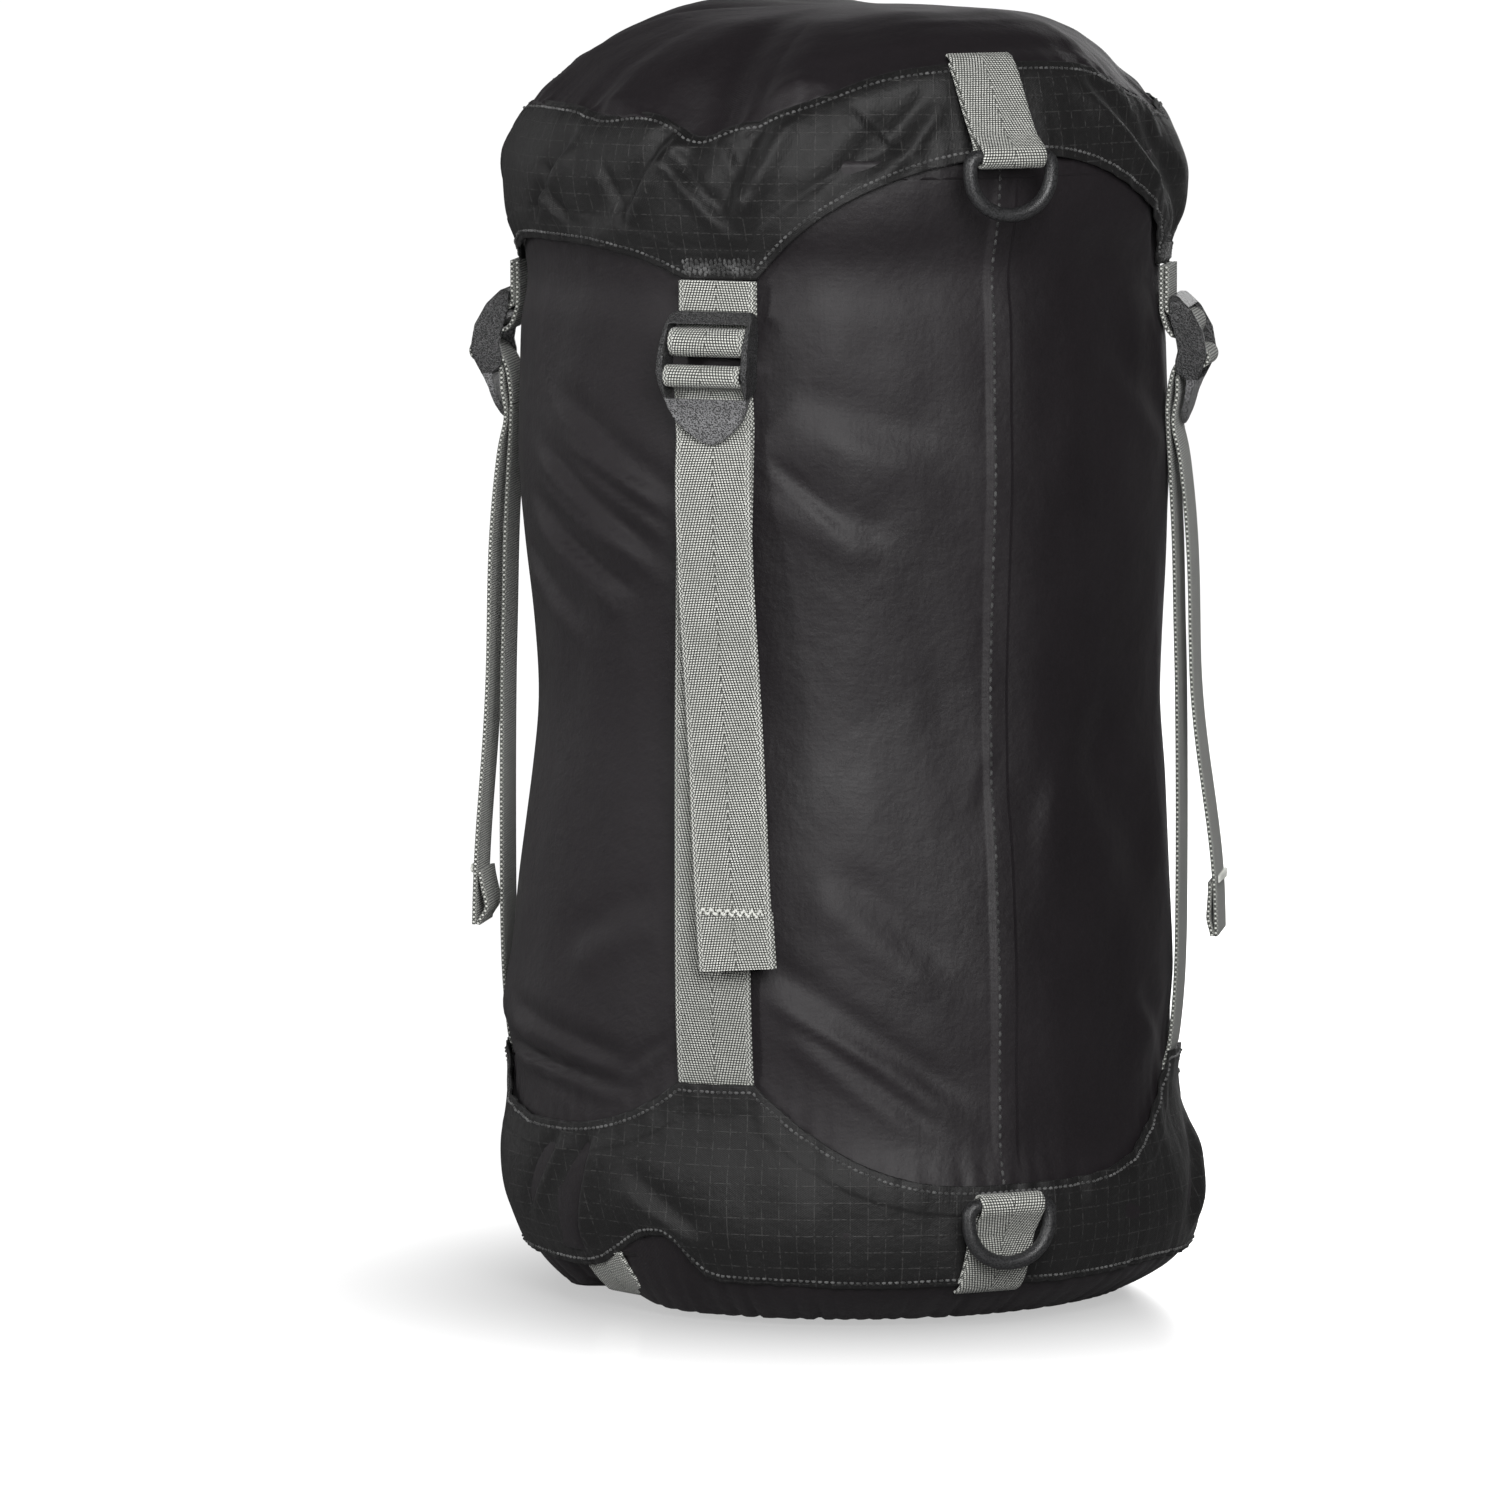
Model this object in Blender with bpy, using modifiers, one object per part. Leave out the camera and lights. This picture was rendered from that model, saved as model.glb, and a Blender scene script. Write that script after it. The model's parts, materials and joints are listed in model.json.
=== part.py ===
"""Compression sack: a stuffed fabric tube with a strapped-on lid, four ladder-lock straps and two D-rings.

Metres, +Z up. The origin is the centre of the base on the floor, and the D-rings face -Y. Angles round the
sack are measured from -Y towards +X. Profiles are lists of (radius, height).
"""
from math import atan2, cos, degrees, hypot, pi, radians, sin

import bmesh
import bpy
from mathutils import Matrix, Vector

# ---- driving dimensions ----
SACK_HEIGHT = 0.450
STEPS = 48  # sides of the bands, the crown and the bottom, which meet at seams
INNER_STEPS = 36  # sides of the sack wall and the collar
FABRIC = 0.0012  # sewn cloth, hem allowances included
BOTTOM_THICKNESS = 0.0035
GAP = 0.0003
BAND_CLEARANCE = 0.0016  # between the sack wall and the base band, whose facets differ

BASE_SEAM_Z = 0.0158
BASE_LOBE_Z = 0.0825
BASE_WIDE_DROP = 0.0317
BASE_NARROW_DROP = 0.0155
LID_LOBE_Z = 0.361
LID_WIDE_RISE = 0.039
LID_NARROW_RISE = 0.0106
LID_SEAM = (0.1060, 0.4205)
MOUTH_Z = 0.396
NECK_RADIUS = 0.1105  # the wall's top, which the lid's lobes and the buckles pass over

STRAPS = {"front_left": -52, "front_right": 52, "rear_right": 128, "rear_left": -128}
LOBE_HALF_ANGLE = 7
WEBBING_WIDTH = 0.028
WEBBING = 0.0015
TAIL_FOLD = 0.022

RING_ANGLE = -5
RING_WIRE = 0.005
RING_INNER_WIDTH = 0.0256
RING_DEPTH = 0.020  # middle of the bar to the middle of the bow
TAB_WIDTH = 0.025
TAB_NECK = 0.007  # where the two plies part, before the bar
TAB_WRAP = 125  # degrees of wrap each side of the bar
UPPER_TAB_ROUTE = [(0.1083, 0.4216)]
LOWER_TAB_ROUTE = [(0.1200, 0.0170), (0.1260, 0.0330)]
BAR_RADIUS_OUT = 0.134
UPPER_BAR_Z = 0.404
LOWER_BAR_Z = 0.046

HANDLE_WIDTH = 0.025
HANDLE_ANGLE = 10

BUCKLE_TOP_Z = 0.3505
BUCKLE_WALL = 0.112  # the radius that the buckle's own depths start from
BUCKLE_WINDOW_HALF = 0.0143
BUCKLE_CROSSPIECE = 0.004
BUCKLE_TONGUE_TOP = 0.0295
ANCHOR_BAR = (0.009, -0.0104, 0.0032)  # (depth, height, radius) from the wall and the buckle's top
GRIP_BAR = (0.0145, -0.0215, 0.0020)
HINGE = (0.1135, LID_LOBE_Z)

HEM_RADIUS = 0.0345
HEM_Z = 0.431
HEM_CURL = 0.004
CORD_RADIUS = 0.00125
CORD_SPACING = 0.0016
EYELET_HOLE = 0.0033
EYELET_RADIUS = 0.0045
EYELET_DEPTH = 0.0012
LOCK_Y = -0.048
LOCK_RADIUS = 0.007
LOCK_ENDS = (-0.0125, 0.0095)
LOCK_BORE = 0.0046
LOCK_FLOOR = -0.0105
PLUNGER_RADIUS = 0.0042
PLUNGER_HEAD_RADIUS = 0.0062
PLUNGER_OUT = 0.004  # how far the plunger's shaft stands out of the barrel
PLUNGER_SLOT = (-0.0031, 0.0061)
SPRING_TURNS = 3
SPRING_WIRE = 0.0003
SPRING_RADIUS = 0.0034

# ---- outlines, outer surface, bottom to top ----
BOTTOM_PROFILE = [
    (0, 0), (0.095, 0), (0.1065, 0.006), (0.1107, 0.009), (0.1165, 0.015), (0.1165, BASE_SEAM_Z),
]
BAND_PROFILE = [
    (0.117, 0.0158), (0.1195, 0.0228), (0.1228, 0.035), (0.1218, 0.051), (0.1185, 0.066), (0.1168, 0.084),
]
WALL_PROFILE = [
    (0.1145, 0.084), (0.116, 0.118), (0.114, 0.153), (0.1097, 0.209), (0.112, 0.265), (0.1134, 0.293),
    (0.112, 0.345), (0.1101, 0.357), (NECK_RADIUS, 0.366), (NECK_RADIUS, MOUTH_Z - GAP),
]
LID_PROFILE = [
    (0.1126, 0.361), (0.1137, 0.368), (0.1173, 0.378), (0.1188, 0.389), (0.1188, 0.396), (0.1165, 0.404),
    (0.1136, 0.411), LID_SEAM,
]
CROWN_PROFILE = [
    (0.1057, 0.4208), (0.1051, 0.4216), (0.0988, 0.4265), (0.0854, 0.4365), (0.0765, 0.441), (0.060, 0.4465),
    (0.030, 0.4493), (0, SACK_HEIGHT),
]
COLLAR_PROFILE = [
    (NECK_RADIUS, MOUTH_Z), (NECK_RADIUS, MOUTH_Z + 0.002), (0.1085, 0.4045), (0.1045, 0.408), (0.095, 0.412),
    (0.070, 0.4165), (0.047, 0.4195),
]
CHANNEL_PROFILE = [(0.0466, 0.4196), (0.0405, 0.4215), (0.0385, 0.4255)]
HANDLE_PATH = [
    (-0.1168, 0.0138), (-0.1116, 0.0080), (-0.107, 0.0048), (-0.1025, 0.0019), (-0.0985, 0.00075),
    (0.0985, 0.00075), (0.1025, 0.0019), (0.107, 0.0048), (0.1116, 0.0080), (0.1168, 0.0138),
]
LOAD_PATH = [
    (0.1165, BASE_LOBE_Z + GAP), (0.1180, 0.095), (0.1192, 0.130), (0.1190, 0.210), (0.1175, 0.270),
    (0.1158, 0.300), (0.1153, 0.3102),
]
TAIL_PATH = [
    (0.1177, 0.3040), (0.1199, 0.290), (0.1230, 0.250), (0.1255, 0.190), (0.1275, 0.149), (0.1285, 0.127),
]

# the buckle's outlines, (depth, height) and (half width, height), from the wall and the buckle's top
BUCKLE_OUTER = [
    (0.007, 0), (0.0119, -0.0048), (0.016, -0.0122), (0.0174, -0.0206), (0.016, -0.0248), (0.013, -0.0308),
    (0.0116, -0.0343), (0.0104, -0.0399), (0.009, -0.0441), (0.0078, -0.0465),
]
BUCKLE_INNER = [
    (0.0070, -0.0465), (0.0072, -0.042), (0.009, -0.036), (0.0100, -0.0311), (0.0100, -0.0290),
    (0.0065, -0.0268), (0.0063, -0.0224), (0.0072, -0.0189), (0.0065, -0.015), (0.0043, -0.008),
    (0.0039, -0.001), (0.0046, 0),
]
BUCKLE_FRONT = [
    (0.0140, 0.0001), (0.0156, -0.0020), (0.0164, -0.0120), (0.0167, -0.0175), (0.0164, -0.0235),
    (0.0157, -0.0274), (0.0143, -0.0330), (0.0122, -0.0370), (0.0082, -0.0412), (0.0037, -0.0443),
    (0.0012, -0.0453),
]
# webbing round the buckle's bars, (depth, height)
ANCHOR_DOWN = [(0.00295, 0.0102), (0.00295, 0.002), (0.00295, -0.0040), (0.0036, -0.0056), (0.0056, -0.0064)]
ANCHOR_UP = [(0.0050, -0.0138), (0.0030, -0.0112), (0.0017, -0.0075), (0.0011, -0.004), (0.0011, 0.0102)]
ANCHOR_SWEEP = (100, -110)
WRAP_UP = [(0.0033, -0.0400), (0.0036, -0.0360), (0.0044, -0.0300), (0.0060, -0.0250), (0.0095, -0.0208)]
WRAP_DOWN = [
    (0.0112, -0.0252), (0.0092, -0.0268), (0.0084, -0.0290), (0.0076, -0.0325), (0.0066, -0.0360),
    (0.0053, -0.0420), (0.0056, -0.0462),
]
WRAP_SWEEP = (120, -95)


# ---- scene helpers ----
def clear_scene():
    for thing in list(bpy.data.objects):
        bpy.data.objects.remove(thing)


def collection(name):
    made = bpy.data.collections.new(name)
    bpy.context.scene.collection.children.link(made)
    return made


def material(name, colour, roughness, metallic=0.0):
    made = bpy.data.materials.new(name)
    made.use_nodes = True
    shader = made.node_tree.nodes["Principled BSDF"]
    shader.inputs["Base Color"].default_value = (*colour, 1)
    shader.inputs["Roughness"].default_value = roughness
    shader.inputs["Metallic"].default_value = metallic
    return made


def place(name, mesh, finish, parent=None, angle=0):
    """Link a mesh as a named part, turned round the sack's axis by angle degrees."""
    part = bpy.data.objects.new(name, mesh)
    mesh.materials.clear()
    mesh.materials.append(finish.copy())
    mesh.materials[0].name = name
    part.rotation_euler.z = radians(angle)
    part.parent = parent
    SACK.objects.link(part)
    return part


def cutter(name, mesh):
    made = bpy.data.objects.new(name, mesh)
    made.hide_render = True
    made.display_type = "WIRE"
    CUTTERS.objects.link(made)
    return made


def boolean(part, other, operation):
    step = part.modifiers.new(other.name, "BOOLEAN")
    step.operation = operation
    step.object = other


def pivot(name, point, angle):
    """An empty on a joint's axis: point is (radius, height) at the given angle round the sack."""
    made = bpy.data.objects.new(name, None)
    made.location = (sin(radians(angle)) * point[0], -cos(radians(angle)) * point[0], point[1])
    made.rotation_euler.z = radians(angle)
    SACK.objects.link(made)
    return made


def about_pivot(mesh, point):
    mesh.transform(Matrix.Translation((0, point[0], -point[1])))
    return mesh


# ---- shape helpers ----
def at_height(profile, z):
    for (r0, z0), (r1, z1) in zip(profile, profile[1:]):
        if z <= z1:
            return r0 + (r1 - r0) * max(0, z - z0) / (z1 - z0)
    return profile[-1][0]


def turned_shell(name, profile, thickness, finish, steps):
    """A profile turned round Z, thickened inwards."""
    mesh = bpy.data.meshes.new(name)
    points = [(r, 0, z) for r, z in reversed(profile)]
    mesh.from_pydata(points, [(i, i + 1) for i in range(len(points) - 1)], [])
    part = place(name, mesh, finish)
    screw = part.modifiers.new("Turn", "SCREW")
    screw.steps = screw.render_steps = steps
    screw.use_merge_vertices = True
    screw.merge_threshold = 0.0001
    thicken(part, thickness)
    return part


def thicken(part, thickness):
    solid = part.modifiers.new("Cloth", "SOLIDIFY")
    solid.thickness = thickness
    solid.offset = -1
    solid.use_even_offset = True


def wrapped_band(name, rows, point, finish):
    """A flat grid bent round Z: point(angle, share) gives the radius and height up each column."""
    bm = bmesh.new()
    bmesh.ops.create_grid(bm, x_segments=STEPS, y_segments=rows, size=1)
    for v in bm.verts:
        angle = round((v.co.x + 1) / 2 * STEPS) * 360 / STEPS
        r, z = point(angle, (v.co.y + 1) / 2)
        v.co = (sin(radians(angle)) * r, -cos(radians(angle)) * r, z)
    bmesh.ops.remove_doubles(bm, verts=bm.verts, dist=1e-6)
    mesh = bpy.data.meshes.new(name)
    bm.to_mesh(mesh)
    bm.free()
    part = place(name, mesh, finish)
    thicken(part, FABRIC)
    return part


def scallop(angle):
    """(is wide, share) of a band's edge: 1 in the middle of a scallop, 0 along a strap's lobe."""
    turn = abs((angle + 180) % 360 - 180)
    from_middle = min(turn, 180 - turn)
    front = STRAPS["front_right"]
    wide = from_middle <= front
    gap = from_middle if wide else abs(turn - 90)
    reach = (front if wide else 90 - front) - LOBE_HALF_ANGLE
    return wide, 1 - min(1, gap / reach) ** 3


def smooth(points, pieces):
    """A Catmull-Rom curve through the points, with this many pieces to a span."""
    ends = [points[0]] + list(points) + [points[-1]]
    out = []
    for a, b, c, d in zip(ends, ends[1:], ends[2:], ends[3:]):
        for i in range(pieces):
            t = i / pieces
            out.append(tuple(
                q + 0.5 * (s - p) * t + 0.5 * (2 * p - 5 * q + 4 * s - w) * t ** 2
                + 0.5 * (3 * q - p - 3 * s + w) * t ** 3
                for p, q, s, w in zip(a, b, c, d)
            ))
    return out + [tuple(points[-1])]


def arc(centre, radius, start, stop, count):
    """Points on a circle, angles in degrees."""
    turns = [radians(start + (stop - start) * i / (count - 1)) for i in range(count)]
    return [(centre[0] + radius * cos(t), centre[1] + radius * sin(t)) for t in turns]


def offset_outline(path, thickness):
    """The closed outline of a strip laid along a path."""
    left, right = [], []
    for i, (x, y) in enumerate(path):
        before, after = path[max(i - 1, 0)], path[min(i + 1, len(path) - 1)]
        along = (after[0] - before[0], after[1] - before[1])
        size = hypot(*along)
        half = thickness[i] / 2 if isinstance(thickness, list) else thickness / 2
        side = (-along[1] / size * half, along[0] / size * half)
        left.append((x + side[0], y + side[1]))
        right.append((x - side[0], y - side[1]))
    return left + right[::-1]


def baked(curve):
    """The mesh of a curve object, its caps welded on; the curve is removed."""
    made = bpy.data.objects.new(curve.name, curve)
    CUTTERS.objects.link(made)
    graph = bpy.context.evaluated_depsgraph_get()
    mesh = bpy.data.meshes.new_from_object(made.evaluated_get(graph))
    bpy.data.objects.remove(made)
    bm = bmesh.new()
    bm.from_mesh(mesh)
    bmesh.ops.remove_doubles(bm, verts=bm.verts, dist=1e-6)
    bmesh.ops.recalc_face_normals(bm, faces=bm.faces)
    bm.to_mesh(mesh)
    bm.free()
    return mesh


def prism(name, outline, half_depth):
    """A flat outline filled and extruded both ways along its normal."""
    curve = bpy.data.curves.new(name, "CURVE")
    curve.dimensions = "2D"
    curve.fill_mode = "BOTH"
    curve.extrude = half_depth
    spline = curve.splines.new("POLY")
    spline.points.add(len(outline) - 1)
    for point, (x, y) in zip(spline.points, outline):
        point.co = (x, y, 0, 1)
    spline.use_cyclic_u = True
    return baked(curve)


def side_prism(name, outline, width):
    """An outline of (radius, height) at the front of the sack, width wide along X."""
    mesh = prism(name, outline, width / 2)
    mesh.transform(Matrix(((0, 0, 1, 0), (-1, 0, 0, 0), (0, 1, 0, 0), (0, 0, 0, 1))))
    return outward(mesh)


def front_prism(name, outline, middle, half_depth):
    """An outline of (across, height) seen from the front, centred on a radius."""
    mesh = prism(name, outline, half_depth)
    mesh.transform(Matrix(((1, 0, 0, 0), (0, 0, 1, -middle), (0, 1, 0, 0), (0, 0, 0, 1))))
    return outward(mesh)


def outward(mesh):
    bm = bmesh.new()
    bm.from_mesh(mesh)
    bmesh.ops.recalc_face_normals(bm, faces=bm.faces)
    bm.to_mesh(mesh)
    bm.free()
    return mesh


def wire(name, points, radius, closed=False, sides=2):
    curve = bpy.data.curves.new(name, "CURVE")
    curve.dimensions = "3D"
    curve.bevel_depth = radius
    curve.bevel_resolution = sides
    curve.use_fill_caps = True
    spline = curve.splines.new("POLY")
    spline.points.add(len(points) - 1)
    for point, place_at in zip(spline.points, points):
        point.co = (*place_at, 1)
    spline.use_cyclic_u = closed
    mesh = baked(curve)
    mesh.shade_smooth()
    return mesh


def rod(name, radius, start, stop, segments=24):
    """A cylinder between two points."""
    start, stop = Vector(start), Vector(stop)
    turn = (stop - start).to_track_quat("Z", "Y").to_matrix().to_4x4()
    bm = bmesh.new()
    bmesh.ops.create_cone(
        bm, cap_ends=True, segments=segments, radius1=radius, radius2=radius, depth=(stop - start).length,
        matrix=Matrix.Translation((start + stop) / 2) @ turn,
    )
    mesh = bpy.data.meshes.new(name)
    bm.to_mesh(mesh)
    bm.free()
    return mesh


def block(name, low, high):
    size = [b - a for a, b in zip(low, high)]
    middle = [(a + b) / 2 for a, b in zip(low, high)]
    bm = bmesh.new()
    bmesh.ops.create_cube(bm, size=1, matrix=Matrix.Translation(middle) @ Matrix.Diagonal((*size, 1)))
    mesh = bpy.data.meshes.new(name)
    bm.to_mesh(mesh)
    bm.free()
    return mesh


def frozen(part):
    """The part's mesh with its modifiers applied, so that copies can share it."""
    graph = bpy.context.evaluated_depsgraph_get()
    return bpy.data.meshes.new_from_object(part.evaluated_get(graph))


def from_buckle(points):
    """(depth, height) in the buckle's own measure to (radius, height) on the sack."""
    return [(BUCKLE_WALL + n, BUCKLE_TOP_Z + z) for n, z in points]


# ---- the sack's shells ----
def base_edge(angle):
    wide, share = scallop(angle)
    return BASE_LOBE_Z - (BASE_WIDE_DROP if wide else BASE_NARROW_DROP) * share


def lid_edge(angle):
    wide, share = scallop(angle)
    return LID_LOBE_Z + (LID_WIDE_RISE if wide else LID_NARROW_RISE) * share


def build_base():
    panel = turned_shell("bottom_panel", BOTTOM_PROFILE, BOTTOM_THICKNESS, NYLON, STEPS)
    half = HANDLE_WIDTH / 2 + GAP
    groove = block("handle_groove", (-0.13, -half, -0.01), (0.13, half, WEBBING + GAP))
    groove.transform(Matrix.Rotation(radians(HANDLE_ANGLE), 4, "Z"))
    boolean(panel, cutter("handle_groove", groove), "DIFFERENCE")
    low = BASE_SEAM_Z + GAP

    def point(angle, share):
        z = low + (base_edge(angle) - low) * share
        return at_height(BAND_PROFILE, z), z

    wrapped_band("base_band", 5, point, RIPSTOP)
    handle = prism("base_handle", offset_outline(HANDLE_PATH, WEBBING), HANDLE_WIDTH / 2)
    handle.transform(Matrix(((1, 0, 0, 0), (0, 0, 1, 0), (0, 1, 0, 0), (0, 0, 0, 1))))
    place("base_handle", outward(handle), WEBBING_CLOTH, angle=HANDLE_ANGLE)


def build_wall():
    under_band = [(r - FABRIC - BAND_CLEARANCE, z) for r, z in BAND_PROFILE[:-1]]
    under_band[0] = (under_band[0][0], BASE_SEAM_Z + GAP)
    turned_shell("sack_wall", under_band + WALL_PROFILE, FABRIC, NYLON, INNER_STEPS)


def build_lid():
    turned_shell("lid_crown", CROWN_PROFILE, FABRIC, NYLON, STEPS)

    def point(angle, share):
        low = lid_edge(angle)
        z = low + (LID_SEAM[1] - low) * share
        return at_height(LID_PROFILE, z), z

    wrapped_band("lid_band", 5, point, RIPSTOP)


# ---- drawcord mouth under the lid ----
def build_mouth():
    turned_shell("mouth_collar", COLLAR_PROFILE, FABRIC, NYLON, INNER_STEPS)
    curl = arc((HEM_RADIUS, HEM_Z), HEM_CURL, 0, 240, 7)
    channel = turned_shell("drawcord_channel", CHANNEL_PROFILE + curl, FABRIC, NYLON, INNER_STEPS)
    middle = HEM_Z - 0.001
    way_out = rod("eyelet_hole", EYELET_HOLE, (0, -HEM_RADIUS, middle), (0, -0.045, middle))
    boolean(channel, cutter("eyelet_hole", way_out), "DIFFERENCE")
    face = -(HEM_RADIUS + HEM_CURL + GAP)
    ring = rod("drawcord_eyelet", EYELET_RADIUS, (0, face, middle), (0, face - EYELET_DEPTH, middle))
    eyelet = place("drawcord_eyelet", ring, METAL)
    bore = rod("eyelet_bore", EYELET_HOLE, (0, face + 0.01, middle), (0, face - 0.01, middle))
    boolean(eyelet, cutter("eyelet_bore", bore), "DIFFERENCE")
    build_drawcord(middle)
    build_cord_lock(middle)


def build_drawcord(z):
    """Two ends come out of the eyelet and the cord lock; the rest lies in the hem."""
    loop = [(HEM_RADIUS * sin(radians(a)), -HEM_RADIUS * cos(radians(a)), z) for a in range(20, 341, 10)]
    out = [(0.0072, -0.0337, z), (0.0034, -0.0349, z), (CORD_SPACING, -0.0376, z), (CORD_SPACING, -0.0420, z),
           (CORD_SPACING, -0.0500, z), (CORD_SPACING, -0.0600, z)]
    back = [(-x, y, z) for x, y, z in out]
    place("drawcord", wire("drawcord", out[::-1] + loop + back, CORD_RADIUS, sides=1), CORD)


def build_cord_lock(z):
    left, right = LOCK_ENDS
    casing = rod("cord_lock_barrel", LOCK_RADIUS, (left, LOCK_Y, z), (right, LOCK_Y, z))
    barrel = place("cord_lock_barrel", casing, PLASTIC)
    bore = rod("lock_bore", LOCK_BORE, (LOCK_FLOOR, LOCK_Y, z), (right + 0.01, LOCK_Y, z))
    across = rod("lock_cross_hole", EYELET_HOLE, (0, LOCK_Y - 0.02, z), (0, LOCK_Y + 0.02, z))
    boolean(barrel, cutter("lock_bore", bore), "DIFFERENCE")
    boolean(barrel, cutter("lock_cross_hole", across), "DIFFERENCE")
    inner_end = PLUNGER_SLOT[0] - 0.0014
    out = right + PLUNGER_OUT
    shaft = rod("cord_lock_plunger", PLUNGER_RADIUS, (inner_end, 0, 0), (out, 0, 0))
    plunger = place("cord_lock_plunger", shaft, PLASTIC)
    plunger.location = (0, LOCK_Y, z)
    head = rod("plunger_head", PLUNGER_HEAD_RADIUS, (out - 0.0005, 0, 0), (out + 0.0025, 0, 0))
    slot = block("plunger_slot", (PLUNGER_SLOT[0], -0.01, -0.0016), (PLUNGER_SLOT[1], 0.01, 0.0016))
    for mesh, operation in ((head, "UNION"), (slot, "DIFFERENCE")):
        tool = cutter(mesh.name, mesh)
        tool.location = plunger.location
        boolean(plunger, tool, operation)
    build_spring(LOCK_FLOOR + SPRING_WIRE + GAP, inner_end - SPRING_WIRE - GAP, z)


def build_spring(low, high, z, per_turn=10):
    count = SPRING_TURNS * per_turn
    coil = []
    for i in range(count + 1):
        turn = 2 * pi * i / per_turn
        x = low + (high - low) * i / count
        coil.append((x, LOCK_Y + SPRING_RADIUS * cos(turn), z + SPRING_RADIUS * sin(turn)))
    place("cord_lock_spring", wire("cord_lock_spring", coil, SPRING_WIRE, sides=1), METAL)


# ---- straps and buckles ----
def build_ladder_lock():
    """One moulded ladder lock: side outline and front outline crossed, a window cut, two bars put in."""
    body = side_prism("ladder_body", from_buckle(BUCKLE_OUTER + BUCKLE_INNER), 0.040)
    front = [(x, BUCKLE_TOP_Z + z) for x, z in BUCKLE_FRONT]
    front += [(-x, z) for x, z in reversed(front)]
    middle = BUCKLE_WALL + 0.010
    half = BUCKLE_WINDOW_HALF
    low, high = BUCKLE_TOP_Z - BUCKLE_TONGUE_TOP, BUCKLE_TOP_Z - BUCKLE_CROSSPIECE
    window = [(-half, low), (half, low), (half, high), (-half, high)]
    blank = cutter("ladder_blank", body)
    boolean(blank, cutter("ladder_front", front_prism("ladder_front", front, middle, 0.02)), "INTERSECT")
    boolean(blank, cutter("ladder_window", front_prism("ladder_window", window, middle, 0.03)), "DIFFERENCE")
    for name, (n, z, radius) in (("anchor_bar", ANCHOR_BAR), ("grip_bar", GRIP_BAR)):
        y, z, reach = -(BUCKLE_WALL + n), BUCKLE_TOP_Z + z, half + 0.0014
        bar = rod(name, radius, (-reach, y, z), (reach, y, z), 12)
        boolean(blank, cutter(name, bar), "UNION")
    return about_pivot(frozen(blank), HINGE)


def hairpin(down, bar, up, sweep):
    """A strip's path: down to a bar, round it and away again."""
    depth, height, radius = bar
    centre = (BUCKLE_WALL + depth, BUCKLE_TOP_Z + height)
    round_bar = arc(centre, radius + 1.5 * GAP + WEBBING / 2, *sweep, 8)
    return from_buckle(down) + round_bar + from_buckle(up)


def build_straps():
    lock = build_ladder_lock()
    anchor_path = hairpin(ANCHOR_DOWN, ANCHOR_BAR, ANCHOR_UP, ANCHOR_SWEEP)
    wrap_path = hairpin(WRAP_UP, GRIP_BAR, WRAP_DOWN, WRAP_SWEEP)
    anchor = side_prism("anchor_loop", offset_outline(anchor_path, WEBBING), WEBBING_WIDTH)
    wrap = side_prism("strap_wrap", offset_outline(wrap_path, WEBBING), WEBBING_WIDTH)
    about_pivot(anchor, HINGE)
    about_pivot(wrap, HINGE)
    load = side_prism("load_strap", offset_outline(smooth(LOAD_PATH, 2), WEBBING), WEBBING_WIDTH)
    tail_path = smooth(TAIL_PATH, 3)
    fold_top = TAIL_PATH[-1][1] + TAIL_FOLD
    widths = [WEBBING * 1.9 if z < fold_top + 0.0005 else WEBBING for r, z in tail_path]
    tail = side_prism("strap_tail", offset_outline(tail_path, widths), WEBBING_WIDTH)
    for side, angle in STRAPS.items():
        hinge = pivot(f"buckle_pivot_{side}", HINGE, angle)
        place(f"ladder_lock_{side}", lock.copy(), PLASTIC, hinge)
        place(f"anchor_loop_{side}", anchor.copy(), WEBBING_CLOTH, hinge)
        place(f"strap_wrap_{side}", wrap.copy(), WEBBING_CLOTH, hinge)
        place(f"load_strap_{side}", load.copy(), WEBBING_CLOTH, angle=angle)
        place(f"strap_tail_{side}", tail.copy(), WEBBING_CLOTH, angle=angle)


# ---- D-rings and their tabs ----
def build_ring(name, bar_z):
    """A closed D: a straight bar on top and a round bow hanging below it."""
    half = (RING_INNER_WIDTH + RING_WIRE) / 2
    corner = 0.003
    bow = [(half * cos(t), -corner - (RING_DEPTH - corner) * abs(sin(t)) ** 0.8)
           for t in [-pi * i / 16 for i in range(1, 16)]]
    path = [(-half + corner, 0), (half - corner, 0), (half - corner * 0.3, -corner * 0.3), (half, -corner)]
    path += bow + [(-half, -corner), (-half + corner * 0.3, -corner * 0.3)]
    hinge = pivot(name + "_pivot", (BAR_RADIUS_OUT, bar_z), RING_ANGLE)
    place(name, wire(name, [(x, 0, z) for x, z in path], RING_WIRE / 2, closed=True), PLASTIC, hinge)


def build_tab(name, route, bar_z):
    """Two plies of webbing sewn into a seam, led along a route and folded round the ring's bar."""
    bar = Vector((BAR_RADIUS_OUT, bar_z))
    along = (bar - Vector(route[-1])).normalized()
    neck = bar - along * TAB_NECK
    heading = degrees(atan2(along.y, along.x))
    turn = arc(bar, RING_WIRE / 2 + GAP + WEBBING / 2, heading + TAB_WRAP, heading - TAB_WRAP, 9)
    plies = offset_outline(route + [tuple(neck)], WEBBING + GAP)
    half = len(plies) // 2
    mesh = side_prism(name, offset_outline(plies[:half] + turn + plies[half:], WEBBING), TAB_WIDTH)
    place(name, mesh, WEBBING_CLOTH, angle=RING_ANGLE)


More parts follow.
